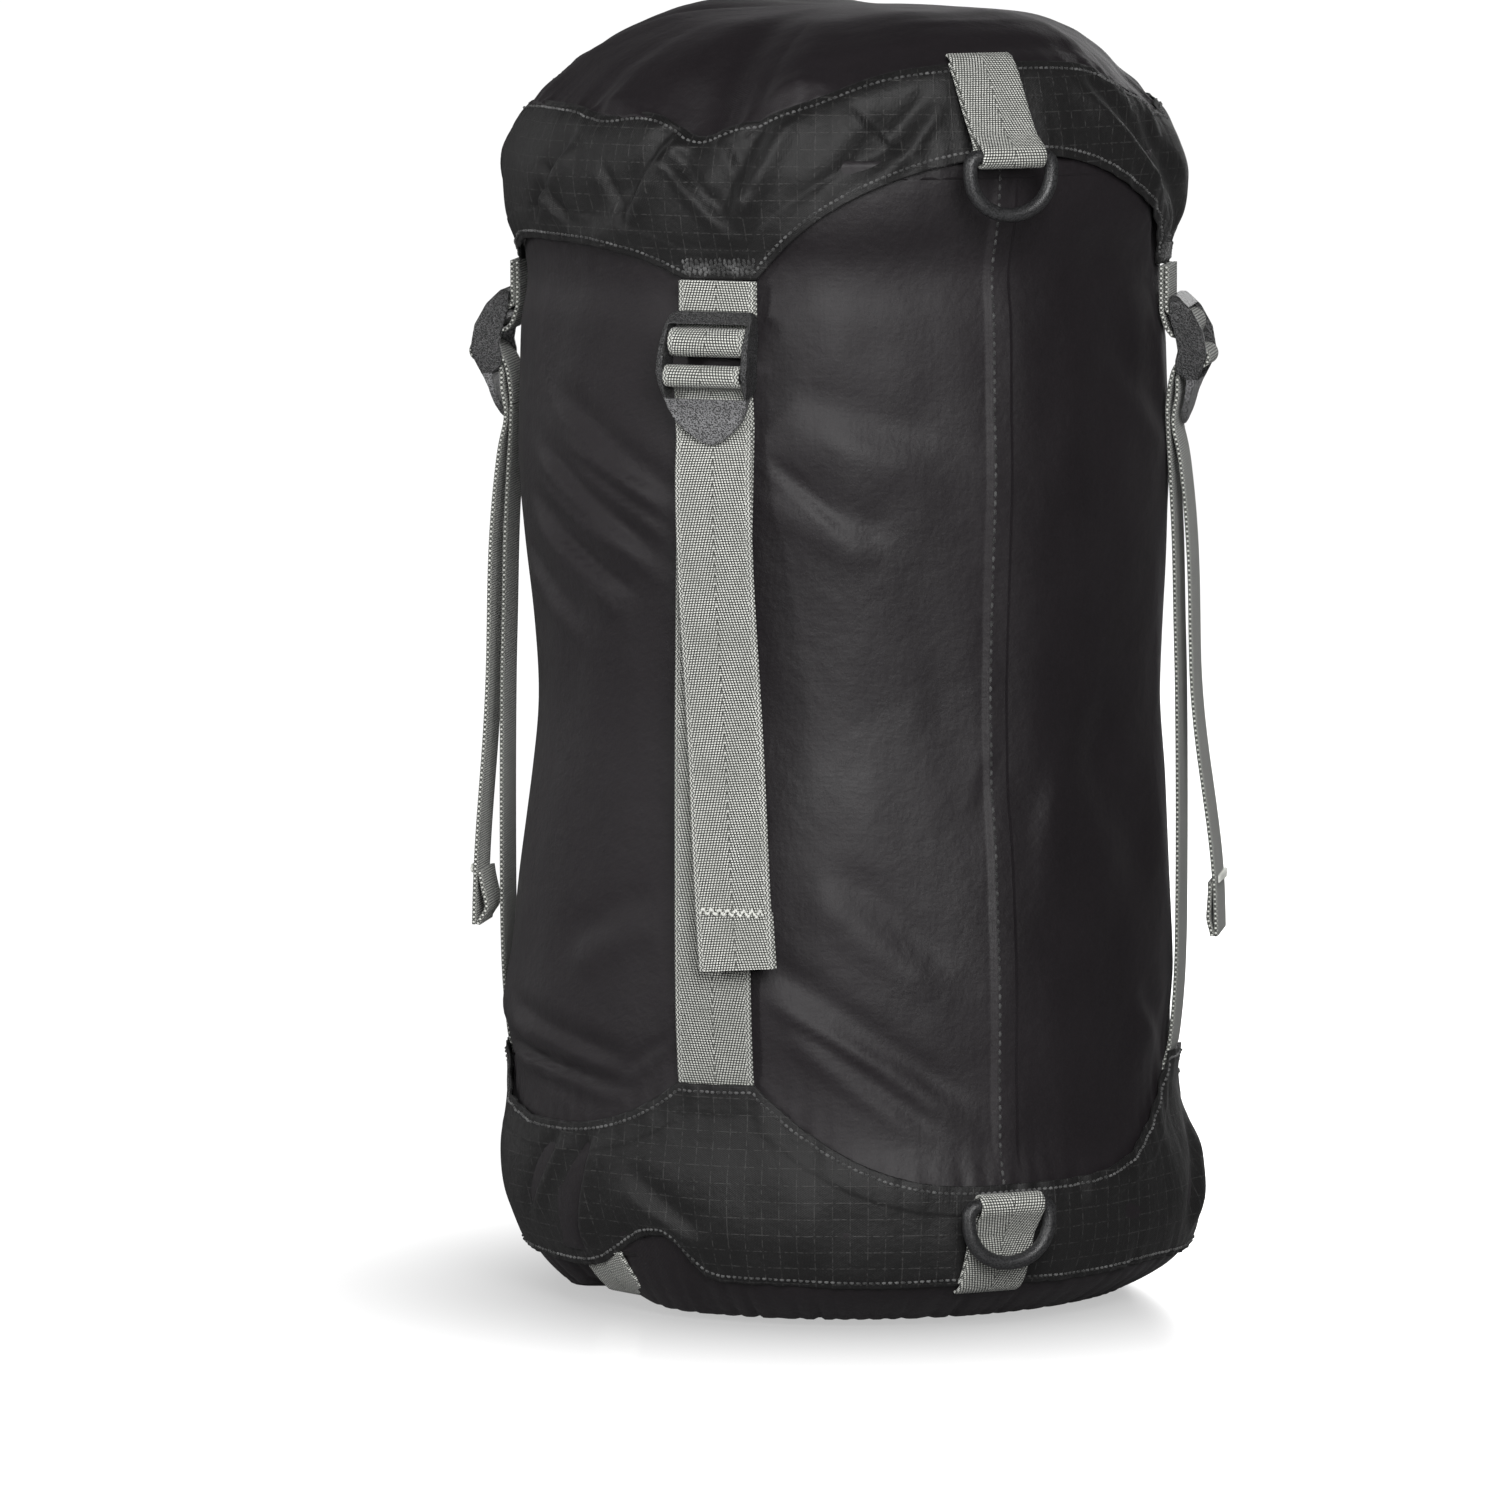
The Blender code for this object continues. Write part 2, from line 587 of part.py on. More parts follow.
# ---- build ----
clear_scene()
SACK = collection("compression_sack")
CUTTERS = collection("cutters")
NYLON = material("smooth_nylon", (0.040, 0.036, 0.038), 0.55)
RIPSTOP = material("ripstop_nylon", (0.014, 0.014, 0.015), 0.7)
WEBBING_CLOTH = material("grey_webbing", (0.30, 0.32, 0.28), 0.8)
PLASTIC = material("moulded_plastic", (0.03, 0.03, 0.031), 0.5)
CORD = material("cord", (0.02, 0.02, 0.02), 0.75)
METAL = material("metal", (0.5, 0.5, 0.5), 0.35, 1.0)

build_base()
build_wall()
build_lid()
build_mouth()
build_straps()
build_ring("upper_d_ring", UPPER_BAR_Z)
build_ring("lower_d_ring", LOWER_BAR_Z)
build_tab("upper_ring_tab", UPPER_TAB_ROUTE, UPPER_BAR_Z)
build_tab("lower_ring_tab", LOWER_TAB_ROUTE, LOWER_BAR_Z)
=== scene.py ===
"""Compression sack: the looks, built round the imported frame. Metres, +Z up, D-rings towards -Y.

Angles (degrees) go round the sack from -Y towards +X. Profiles are (radius, height).
"""
import json
from math import cos, hypot, pi, radians, sin

import bmesh
import bpy
import numpy as np
from mathutils import Matrix, Vector


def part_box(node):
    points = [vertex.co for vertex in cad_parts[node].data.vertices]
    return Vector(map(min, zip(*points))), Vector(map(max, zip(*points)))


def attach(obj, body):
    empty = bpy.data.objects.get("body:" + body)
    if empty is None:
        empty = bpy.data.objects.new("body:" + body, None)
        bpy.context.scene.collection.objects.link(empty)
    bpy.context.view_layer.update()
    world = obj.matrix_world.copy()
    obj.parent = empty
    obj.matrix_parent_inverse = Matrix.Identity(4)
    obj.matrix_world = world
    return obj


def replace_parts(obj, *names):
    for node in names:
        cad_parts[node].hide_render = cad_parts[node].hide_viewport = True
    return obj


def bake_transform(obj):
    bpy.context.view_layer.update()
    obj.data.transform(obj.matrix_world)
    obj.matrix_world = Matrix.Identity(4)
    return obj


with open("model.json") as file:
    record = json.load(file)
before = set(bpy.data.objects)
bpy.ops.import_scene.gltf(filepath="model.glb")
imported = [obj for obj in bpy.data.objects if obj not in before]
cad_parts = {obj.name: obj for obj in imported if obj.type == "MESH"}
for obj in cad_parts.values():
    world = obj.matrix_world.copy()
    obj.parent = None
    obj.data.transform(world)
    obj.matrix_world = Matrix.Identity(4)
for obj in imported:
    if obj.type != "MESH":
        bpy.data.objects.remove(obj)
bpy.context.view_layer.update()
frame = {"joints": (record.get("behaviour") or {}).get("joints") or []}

# ---- places read from the frame ----
BASE_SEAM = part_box("base_band")[0][2]
BASE_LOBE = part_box("base_band")[1][2]
LID_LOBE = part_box("lid_band")[0][2]
BUCKLE_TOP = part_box("ladder_lock_front_left")[1][2]
TAIL_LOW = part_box("strap_tail_front_left")[0][2]
TAIL_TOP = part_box("strap_tail_front_left")[1][2]
JOINTS = {j["name"]: j for j in frame["joints"]}

# ---- sizes shared with the design ----
STRAPS = {"front_left": -52, "front_right": 52, "rear_right": 128, "rear_left": -128}
STRAP_ANGLE = 52
# the zigzag across each strap at the lid's edge:
# half its width in degrees, its strokes, its place above the edge and its height
BARTACK_HALF, BARTACK_STROKES, BARTACK_LOW, BARTACK_TALL = 6.6, 30, 0.0018, 0.0052
LOBE_RISE = 0.0035
LOBE_HALF = 7
BASE_WIDE_DROP, BASE_NARROW_DROP = 0.0317, 0.0155
LID_WIDE_RISE, LID_NARROW_RISE = 0.039, 0.0106
CROWN_WIDE_LIFT, CROWN_NARROW_LIFT = 0.019, 0.003
RING_ANGLE = -5
BAR_OUT, RING_WIRE, RING_HALF, RING_DEPTH = 0.134, 0.005, 0.0153, 0.020
WEB_WIDTH, WEB, WEB_CELLS = 0.028, 0.0014, 12
TAB_WIDTH = 0.0238
BUCKLE_WALL = 0.112
BASE_LEAN, LEAN_ANGLE = 0.0058, 68  # the base has slumped a little this way
CLOTH = 0.0006
# angles of the cloth's columns, closer together at the wall's seam
COLUMNS = np.unique(np.concatenate([np.arange(-180, 180, 0.75), np.arange(-6, 3, 0.25)]))
MEAN_RADIUS = 0.115  # turns angles into lengths round the cloth
WALL_LOW, WALL_HIGH = 0.022, 0.402
WALL_SEAM = -2.9  # the angle of the wall's row of stitches
LID_FOOT = 0.355
LID_SEAM = 0.4157  # height of the seam between band and crown, before the crown's lift
LIFT_FROM, LIFT_SPAN = 0.375, 0.0407  # the lift fades in over this height of the band
LID_GAP, BASE_GAP = 0.0021, 0.0019  # from a band's outside to the outside of the wall or the collar under it
HEM, HEM_TURN = 0.0095, 0.0012
BOTTOM_GAP = 0.0021

BAND_PROFILE = [
    (0.1165, 0.010), (0.117, 0.0158), (0.1195, 0.0228), (0.1225, 0.035), (0.1218, 0.051), (0.1185, 0.066),
    (0.1168, 0.084), (0.1165, 0.10),
]
WALL_PROFILE = [
    (0.1155, 0.02), (0.118, 0.05), (0.1158, 0.084), (0.1160, 0.105), (0.1156, 0.125), (0.114, 0.153),
    (0.112, 0.181), (0.1097, 0.209), (0.1104, 0.237), (0.112, 0.265), (0.1134, 0.293), (0.1128, 0.314),
    (0.112, 0.345), (0.1104, 0.357), (0.1106, 0.366), (0.1138, 0.378), (0.1152, 0.389), (0.1150, 0.40),
]
LID_PROFILE = [
    (0.1122, 0.355), (0.1126, 0.361), (0.1137, 0.368), (0.1173, 0.378), (0.1188, 0.389), (0.1188, 0.396),
    (0.1165, 0.404), (0.1136, 0.411), (0.1098, 0.4157), (0.1060, 0.4205),
]
CROWN_PROFILE = [
    (0.1098, 0.4157), (0.1045, 0.4205), (0.0988, 0.425), (0.0925, 0.431), (0.0854, 0.436), (0.0765, 0.441),
    (0.060, 0.4465), (0.030, 0.4493), (0.0, 0.450),
]
BOTTOM_PROFILE = [
    (0, 0), (0.05, 0), (0.093, 0), (0.1010, 0.0022), (0.1070, 0.0060), (0.1120, 0.0105), (0.1160, 0.0161),
]


# ---- small maths ----
def smoothstep(x):
    x = np.clip(x, 0, 1)
    return x * x * (3 - 2 * x)


def bell(x, width):
    return np.exp(-(x / width) ** 2)


def signed(a):
    """The same angle between -180 and 180."""
    return (np.asarray(a, float) + 180) % 360 - 180


def smooth(points, pieces=8):
    """A Catmull-Rom curve through the points."""
    p = np.array([points[0], *points, points[-1]], float)
    out = []
    for a, b, c, d in zip(p, p[1:], p[2:], p[3:]):
        for t in np.arange(pieces) / pieces:
            out.append(0.5 * (2 * b + (c - a) * t + (2 * a - 5 * b + 4 * c - d) * t ** 2
                              + (3 * b - a - 3 * c + d) * t ** 3))
    return np.array(out + [p[-1]])


def along_path(path, share):
    """Radius and height at a share of a profile's length."""
    run = np.concatenate([[0], np.cumsum(np.hypot(*np.diff(path, axis=0).T))])
    run /= run[-1]
    return np.interp(share, run, path[:, 0]), np.interp(share, run, path[:, 1])


def radius_of(profile):
    """Radius as a smooth function of height."""
    r, z = smooth(profile).T
    order = np.argsort(z)
    return lambda height: np.interp(height, z[order], r[order])


def waves(seed, lowest, highest, count=14):
    """A periodic ripple round the sack: whole numbers of waves with seeded phases."""
    rng = np.random.default_rng(seed)
    numbers = rng.integers(lowest, highest, count)
    phases = rng.uniform(0, 2 * pi, count)
    slants = rng.normal(0, 1, count)

    def at(a, z=0.0, slant=0.0):
        turn = np.radians(a)
        total = sum(np.cos(n * turn + p + s * slant * z) for n, p, s in zip(numbers, phases, slants))
        return total / count ** 0.5

    return at


def panel_share(a):
    """(is wide, share): 1 in the middle of the panel between two straps, 0 at a strap."""
    turn = signed(a)
    to_wide = np.minimum(abs(turn), 180 - abs(turn))
    to_narrow = abs(abs(turn) - 90)
    wide = to_wide <= STRAP_ANGLE
    reach = np.where(wide, STRAP_ANGLE - LOBE_HALF, 90 - STRAP_ANGLE - LOBE_HALF)
    t = np.clip(np.where(wide, to_wide, to_narrow) / reach, 0, 1)
    return wide, 1 - t ** 2.7


def by_panel(a, wide_size, narrow_size):
    wide, share = panel_share(a)
    return np.where(wide, wide_size, narrow_size) * share


def crease(a, z, row):
    """What one straight crease of a fold table adds to the radius."""
    z0, z1, width, depth = (row[k] / 1000 for k in (1, 3, 4, 5))
    s = np.radians(a) * MEAN_RADIUS
    s0, s1 = radians(row[0]) * MEAN_RADIUS, radians(row[2]) * MEAN_RADIUS
    ds, dz = s1 - s0, z1 - z0
    length = hypot(ds, dz)
    t = np.clip(((s - s0) * ds + (z - z0) * dz) / length ** 2, 0, 1)
    across = ((s - s0) * dz - (z - z0) * ds) / length
    away = np.hypot(s - s0 - t * ds, z - z0 - t * dz)
    hill = bell(away, width) * smoothstep(0.25 + 3 * t) * smoothstep(0.25 + 3 * (1 - t))
    return depth * hill * (across / width * 1.6 if depth > 0 else 1)


def round_z(a, r, z):
    turn = np.radians(a)
    return np.stack([np.sin(turn) * r, -np.cos(turn) * r, z + 0 * r], -1)


# ---- shell surfaces: each takes angles and a share from its lower edge to its upper edge ----
wall_radius = radius_of(WALL_PROFILE)
band_radius = radius_of(BAND_PROFILE)
lid_radius = radius_of(LID_PROFILE)
seam_ripple = waves(3, 50, 120)
hem_ripple = waves(4, 40, 100)
soft_ripple = waves(5, 3, 11)
fine_ripple = waves(6, 14, 34)


def lid_edge(a):
    return LID_LOBE + by_panel(a, LID_WIDE_RISE, LID_NARROW_RISE) + 0.0006 * soft_ripple(a)


def base_edge(a):
    drop = by_panel(a, BASE_WIDE_DROP + LOBE_RISE, BASE_NARROW_DROP + LOBE_RISE)
    return BASE_LOBE + LOBE_RISE - drop + 0.0006 * soft_ripple(a + 40)


def edge_steepness(edge, a):
    """How much longer the edge is than its run round the sack, at each angle."""
    slope = (edge(a + 0.5) - edge(a - 0.5)) / (radians(1) * 0.117)
    return np.sqrt(1 + slope ** 2)


# dips of the crown seam: angle, half width, depth
SEAM_DENTS = [
    (-78, 7, 0.0030), (-56, 6, 0.0062), (-34, 8, 0.0022), (30, 8, 0.0030), (60, 8, 0.0035), (125, 8, 0.0040),
]


def crown_lift(a):
    turn = signed(a)
    dents = sum(depth * bell(turn - middle, width) for middle, width, depth in SEAM_DENTS)
    return by_panel(a, CROWN_WIDE_LIFT, CROWN_NARROW_LIFT) - dents


def leaned(points):
    """The top of the lid slumps a little to one side."""
    share = smoothstep((points[..., 2] - 0.424) / 0.028)
    return points + share[..., None] * np.array([0.0042, -0.0024, 0])


def bottom_seam(a):
    """The bottom seam's height, pushed up where the base has a dent."""
    turn = signed(a)
    side = np.where(turn > -63, 6.0, 13.0)
    dent = np.exp(-np.abs((turn + 63) / side) ** 2.4)
    return BASE_SEAM + 0.0155 * dent + 0.0008 * soft_ripple(a + 10)


def dent_share(a, z):
    turn = signed(a)
    return bell(turn + 66, 12) * bell(z - 0.022, 0.018)


# how strongly each table's folds show
WALL_RELIEF, LID_RELIEF, BAND_RELIEF, CROWN_RELIEF = 1.7, 2.0, 1.6, 1.3
# broad swellings of the wall: depth, angle, half width, height, half height
WALL_SWELLS = [
    (-0.0035, -118, 40, 0.207, 0.05), (0.0040, -105, 30, 0.098, 0.018), (0.0018, 62, 30, 0.22, 0.06),
]


def wall_surface(a, share):
    z = WALL_LOW + (WALL_HIGH - WALL_LOW) * share
    turn = signed(a)
    r = wall_radius(z)
    for depth, angle, wide, height, tall in WALL_SWELLS:
        r = r + depth * bell(turn - angle, wide) * bell(z - height, tall)
    r = r + WALL_RELIEF * folds_of(WALL_FOLDS, turn, z)
    r = r + 0.0010 * smoothstep((turn + 4.4) / 1.4) * smoothstep((0.6 - turn) / 0.30)
    r = r + 0.0009 * soft_ripple(a, z, 14) + 0.00022 * fine_ripple(a, z, 60)
    edge = lid_edge(a)
    near_lid = smoothstep((z - edge + 0.028) / 0.026)
    r = r * (1 - near_lid) + (lid_skin(a, np.minimum(z, edge)) - LID_GAP) * near_lid
    low = base_edge(a)
    near_base = 1 - smoothstep((z - low) / 0.030)
    r = r * (1 - near_base) + (base_skin(a, z) - BASE_GAP) * near_base
    r = r + 0.00022 * seam_ripple(a) * np.exp(-np.abs(z - low) / 0.009)
    r = r + 0.00010 * hem_ripple(a) * np.exp(-np.abs(z - edge) / 0.010)
    return round_z(a, r, z)


# Creases of the cloth: angle and height of the start, the same of the end, width and depth,
# with the sizes in mm. A depth above 0 is a fold, one side high and one low, and one below 0 is a groove.
WALL_FOLDS = [
    (-88, 305, -66, 288, 2.2, 0.7), (-97, 290, -74, 268, 2.2, 0.8), (-92, 270, -70, 250, 2.4, 0.8),
    (-108, 88, -80, 83, 1.8, 1), (-100, 97, -84, 88, 2, 0.9), (-72, 84, -60, 100, 2.5, 0.8),
    (-44, 300, -30, 276, 2.6, 0.6), (-42, 116, -22, 92, 2.6, 0.7), (-92, 318, -60, 283, 6, 1.2),
    (-98, 300, -64, 262, 5, 1.4), (-102, 281, -72, 247, 5.5, 1.2), (-84, 296, -62, 274, 3, 0.7),
    (-108, 262, -84, 236, 6, 1), (-44, 292, -22, 268, 8, 0.9), (-40, 318, -14, 300, 10, 0.9),
    (-112, 92, -62, 76, 3.4, 2.6), (-104, 103, -70, 88, 4.8, 1.6), (-96, 79, -74, 69, 4, 1.6),
    (-86, 125, -64, 146, 8, 1), (-46, 128, -8, 74, 6.5, 1.3), (-40, 108, -14, 66, 5, 1),
    (-34, 158, -12, 120, 9, 1), (-6, 190, 9, 178, 13, -0.9), (16, 205, 40, 150, 14, -1.6),
    (24, 330, 50, 300, 9, 1), (30, 110, 48, 80, 7, 1.1), (150, 300, 188, 262, 8, 1.3),
    (172, 150, 206, 118, 9, 1.3), (84, 300, 104, 262, 6, 1.2), (78, 112, 112, 92, 4.5, 1.8),
]


def lift_share(z):
    return smoothstep((z - LIFT_FROM) / LIFT_SPAN)


def lid_unlifted(a, z):
    """The height that a lid point would have without the crown's lift."""
    out = z
    for _ in range(4):
        out = z - crown_lift(a) * lift_share(out)
    return out


def lid_skin(a, z):
    return lid_radius(np.maximum(lid_unlifted(a, z), LID_FOOT))


LID_FOLDS = [
    (-92, 398, -82, 372, 3, 1), (-62, 406, -49, 378, 3, 1.4), (-52, 414, -44, 384, 2.6, 1),
    (-76, 400, -70, 376, 2.4, 0.9), (-30, 422, -18, 400, 2.6, 0.7), (-95, 372, -82, 410, 4.8, 2),
    (-84, 368, -66, 402, 7, -1.4), (-70, 380, -58, 418, 4.6, 2.6), (-50, 380, -40, 424, 6, 3),
    (-38, 376, -20, 420, 6, -1.8), (-26, 392, -14, 424, 4.4, 1.6), (14, 430, 40, 388, 5.6, 2),
    (34, 415, 56, 372, 6, -2), (66, 372, 84, 408, 5, 1.6), (104, 376, 118, 408, 5, -1.8),
    (140, 372, 166, 420, 6, 2), (186, 424, 206, 384, 5.6, -2), (222, 372, 238, 410, 5.4, 1.8),
]


def folds_of(table, turn, z):
    return sum(crease(turn - shift, z, row) for row in table for shift in (0, -360))


def band_relief(a, z, from_edge, from_seam, folds, sag, shifts):
    """What a band's cloth adds to its radius: the hem, the folds, the seam's puckers and the ripples."""
    hem_shift, seam_shift, sag_shift, fine_shift = shifts
    hem = 1 - smoothstep((from_edge - HEM) / HEM_TURN)
    relief = 0.00035 * hem + 0.0005 * hem_ripple(a + hem_shift) * np.exp(-from_edge / 0.009)
    relief = relief + folds * smoothstep(from_edge / 0.012) * smoothstep(from_seam / 0.006)
    relief = relief + (0.0006 * seam_ripple(a + seam_shift) - 0.0011) * np.exp(-from_seam / 0.0045)
    relief = relief + sag * soft_ripple(a + sag_shift, z, 30) * smoothstep(from_edge / 0.02)
    return relief + 0.0003 * fine_ripple(a + fine_shift, z, 90)


def lid_surface(a, share):
    turn = signed(a)
    low = lid_unlifted(a, lid_edge(a))
    flat = low + (LID_SEAM - low) * share
    z = flat + crown_lift(a) * lift_share(flat)
    from_edge = (z - lid_edge(a)) / edge_steepness(lid_edge, a)
    folds = LID_RELIEF * folds_of(LID_FOLDS, turn, z)
    relief = band_relief(a, z, from_edge, (1 - share) * (LID_SEAM - low), folds, 0.0010, (0, 0, 70, 0))
    return leaned(round_z(a, lid_radius(flat) + relief, z))


def crown_surface(a, share):
    """share runs from the seam to the middle of the top."""
    r, z = along_path(smooth(CROWN_PROFILE), share)
    out = r / CROWN_PROFILE[0][0]
    z = z + crown_lift(a) * out ** 2.6
    turn = signed(a)
    pull = out ** 2 * np.exp(-(1 - out) / 0.35)
    z = z - 0.0016 * np.exp(-(1 - out) / 0.05) + 0.0007 * seam_ripple(a) * np.exp(-(1 - out) / 0.045)
    spokes = 0
    for centre, width, depth in CROWN_FOLDS:
        gap = signed(turn - centre)
        spokes = spokes + depth * bell(gap, width) * (gap / width if width < 7 else 1)
    z = z + CROWN_RELIEF * spokes * pull * smoothstep((1 - out) / 0.04)
    z = z + 0.0012 * soft_ripple(a + 200) * out ** 2.5 * (1 - out) * 6
    return leaned(round_z(a, r, z))


# folds that run up the crown from its seam: angle, half width, depth
CROWN_FOLDS = [
    (-112, 5, 0.0035), (-96, 9, -0.0035), (-82, 6, 0.0060), (-58, 9, -0.0085), (-40, 7, 0.0062),
    (-24, 12, -0.0016), (22, 6, 0.0022), (46, 10, -0.0040), (70, 5, 0.0030), (96, 10, -0.0030),
    (128, 9, -0.0040), (150, 6, 0.0026), (180, 12, -0.0018), (-150, 6, 0.0028), (-130, 9, -0.0040),
]
BAND_FOLDS = [
    (-98, 30, -84, 66, 4.5, 2), (-84, 20, -76, 68, 4, 2.4), (-74, 30, -50, 12, 6, -3),
    (-70, 52, -54, 30, 6, 1.6), (-36, 36, -10, 34, 12, -0.7), (12, 40, 36, 34, 12, -0.8),
    (44, 24, 60, 60, 6, 1.6), (84, 24, 96, 58, 5, 1.6), (126, 22, 142, 60, 6, 1.8),
    (168, 30, 196, 30, 10, -2), (222, 22, 234, 64, 5, 1.8),
]


def base_skin(a, z):
    lean = BASE_LEAN * (1 - smoothstep((z - 0.012) / 0.062)) * np.cos(np.radians(a - LEAN_ANGLE))
    return band_radius(z) - 0.006 * dent_share(a, z) + lean


def base_surface(a, share):
    turn = signed(a)
    low = bottom_seam(a)
    z = low + (base_edge(a) - low) * share
    from_edge = (base_edge(a) - z) / edge_steepness(base_edge, a)
    over_strap = np.exp(-((abs(abs(turn) - 90) - (90 - STRAP_ANGLE)) / 9.0) ** 6)
    r = base_skin(a, z) + 0.0014 * over_strap * (1 - smoothstep(from_edge / 0.012))
    folds = BAND_RELIEF * folds_of(BAND_FOLDS, turn, z)
    return round_z(a, r + band_relief(a, z, from_edge, z - low, folds, 0.0009, (90, 33, 150, 50)), z)


def bottom_surface(a, share):
    """share runs from the middle of the flat patch to the bottom seam."""
    seam_z = bottom_seam(a)
    seam_r = base_skin(a, seam_z) - 0.0011
    r, z = along_path(smooth(BOTTOM_PROFILE), share)
    end_r, end_z = BOTTOM_PROFILE[-1]
    rise = smoothstep((r - 0.085) / 0.031)
    z = np.maximum(z, 0) / end_z * seam_z * rise + np.maximum(z, 0) * (1 - rise)
    r = r * (1 - rise) + r / end_r * seam_r * rise
    turn = signed(a)
    tuck = smoothstep((r - 0.062) / 0.045) * (1 - smoothstep((r - 0.108) / 0.009))
    z = z + 0.0115 * bell(turn + 88, 11) * tuck
    z = z + 0.0016 * np.maximum(seam_ripple(a), 0) * rise * (1 - share) * 6
    z = z + 0.0016 * np.exp(-np.maximum(1 - share, 0) / 0.03) * 0.2 * seam_ripple(a)
    return round_z(a, r, z + BOTTOM_GAP)


# ---- mesh making ----
def cleaned(mesh, merge=None, outward=True):
    """The same mesh with its near points merged and its faces turned outward."""
    bm = bmesh.new()
    bm.from_mesh(mesh)
    if merge is not None:
        bmesh.ops.remove_doubles(bm, verts=bm.verts, dist=merge)
    if outward:
        bmesh.ops.recalc_face_normals(bm, faces=bm.faces)
    bm.to_mesh(mesh)
    bm.free()


def grid(name, points, uv, disc):
    """A closed ring of quads from points[column, row]. One end row of a disc closes to one point."""
    columns, rows = points.shape[:2]
    mesh = bpy.data.meshes.new(name)
    i, j = np.meshgrid(np.arange(columns), np.arange(rows - 1), indexing="ij")
    k = (i + 1) % columns
    faces = np.stack([i * rows + j, k * rows + j, k * rows + j + 1, i * rows + j + 1], -1).reshape(-1, 4)
    mesh.from_pydata(points.reshape(-1, 3).tolist(), [], faces.tolist())
    layer = mesh.uv_layers.new(name="UVMap")
    corners = np.stack([
        np.stack([i, j], -1), np.stack([i + 1, j], -1), np.stack([i + 1, j + 1], -1), np.stack([i, j + 1], -1)
    ], 2).reshape(-1, 2)
    layer.data.foreach_set("uv", uv[corners[:, 0], corners[:, 1]].astype(np.float32).ravel())
    if disc:
        cleaned(mesh, 1e-5, outward=False)
    mesh.shade_smooth()
    return link(name, mesh)


def link(name, data):
    made = bpy.data.objects.new(name, data)
    bpy.context.scene.collection.objects.link(made)
    return made


def applied(obj):
    """The object with its modifiers made part of its mesh."""
    graph = bpy.context.evaluated_depsgraph_get()
    done = obj.evaluated_get(graph)
    mesh = bpy.data.meshes.new_from_object(done, preserve_all_data_layers=True, depsgraph=graph)
    obj.modifiers.clear()
    obj.data = mesh
    return obj


def shell(name, surface, rows, disc=False):
    """A surface as cloth with its thickness inward. A disc's weave lies flat, a tube's weave goes round."""
    shares = np.linspace(0, 1, rows)
    points = surface(*np.meshgrid(COLUMNS, shares, indexing="ij"))
    closed = np.concatenate([points, points[:1]])
    if disc:
        uv = closed[:, :, :2]
    else:
        turns = np.append(COLUMNS, 180)[:, None] + 0 * shares
        uv = np.stack([np.radians(turns) * MEAN_RADIUS, closed[:, :, 2]], -1)
    made = grid(name, points, uv, disc)
    solid = made.modifiers.new("Cloth", "SOLIDIFY")
    solid.thickness = CLOTH
    solid.offset = -1
    return applied(made)


def surface_frames(surface, angles, shares):
    """Points on a surface with their outward normals."""
    here = surface(angles, shares)
    ahead = surface(angles + 0.4, shares)
    up = surface(angles, np.clip(shares + 0.01, 0, 1)) - surface(angles, np.clip(shares - 0.01, 0, 1))
    along = ahead - here
    along /= np.linalg.norm(along, axis=1)[:, None]
    normal = np.cross(along, up)
    normal /= np.linalg.norm(normal, axis=1)[:, None]
    return here, normal


def stitches(name, path, normal, pitch=0.0022, length=0.0016, width=0.00050):
    """Short raised threads along an even walk of a path."""
    step = np.linalg.norm(np.diff(path, axis=0), axis=1)
    at = np.concatenate([[0], np.cumsum(step)])
    spots = np.arange(pitch / 2, at[-1], pitch)
    middle = np.stack([np.interp(spots, at, path[:, k]) for k in range(3)], -1)
    out = np.stack([np.interp(spots, at, normal[:, k]) for k in range(3)], -1)
    ahead = np.stack([np.interp(spots + 0.0006, at, path[:, k]) for k in range(3)], -1) - middle
    ahead /= np.maximum(np.linalg.norm(ahead, axis=1)[:, None], 1e-9)
    out /= np.linalg.norm(out, axis=1)[:, None]
    side = np.cross(out, ahead)
    rings = [(-0.5, 0.25, -0.35), (-0.28, 0.9, 0.25), (0, 1.0, 0.42), (0.28, 0.9, 0.25), (0.5, 0.25, -0.35)]
    verts, faces = [], []
    for m, o, t, s in zip(middle, out, ahead, side):
        base = len(verts)
        for x, w, lift in rings:
            for n in range(6):
                turn = 2 * pi * n / 6
                beside, above = cos(turn) * width * w, sin(turn) * width * w + lift * width
                verts.append(m + t * x * length + s * beside + o * above)
        for ring in range(4):
            for n in range(6):
                p, q = base + ring * 6 + n, base + ring * 6 + (n + 1) % 6
                faces.append((p, q, q + 6, p + 6))
        faces.append(tuple(base + n for n in range(5, -1, -1)))
        faces.append(tuple(base + 24 + n for n in range(6)))
    mesh = bpy.data.meshes.new(name)
    mesh.from_pydata([tuple(v) for v in verts], [], faces)
    cleaned(mesh)
    mesh.shade_smooth()
    return link(name, mesh)


def joined(name, parts):
    """Several objects' meshes as one object."""
    bm = bmesh.new()
    for part in parts:
        part.data.transform(part.matrix_world)
        bm.from_mesh(part.data)
    mesh = bpy.data.meshes.new(name)
    bm.to_mesh(mesh)
    bm.free()
    for part in parts:
        bpy.data.objects.remove(part)
    return link(name, mesh)


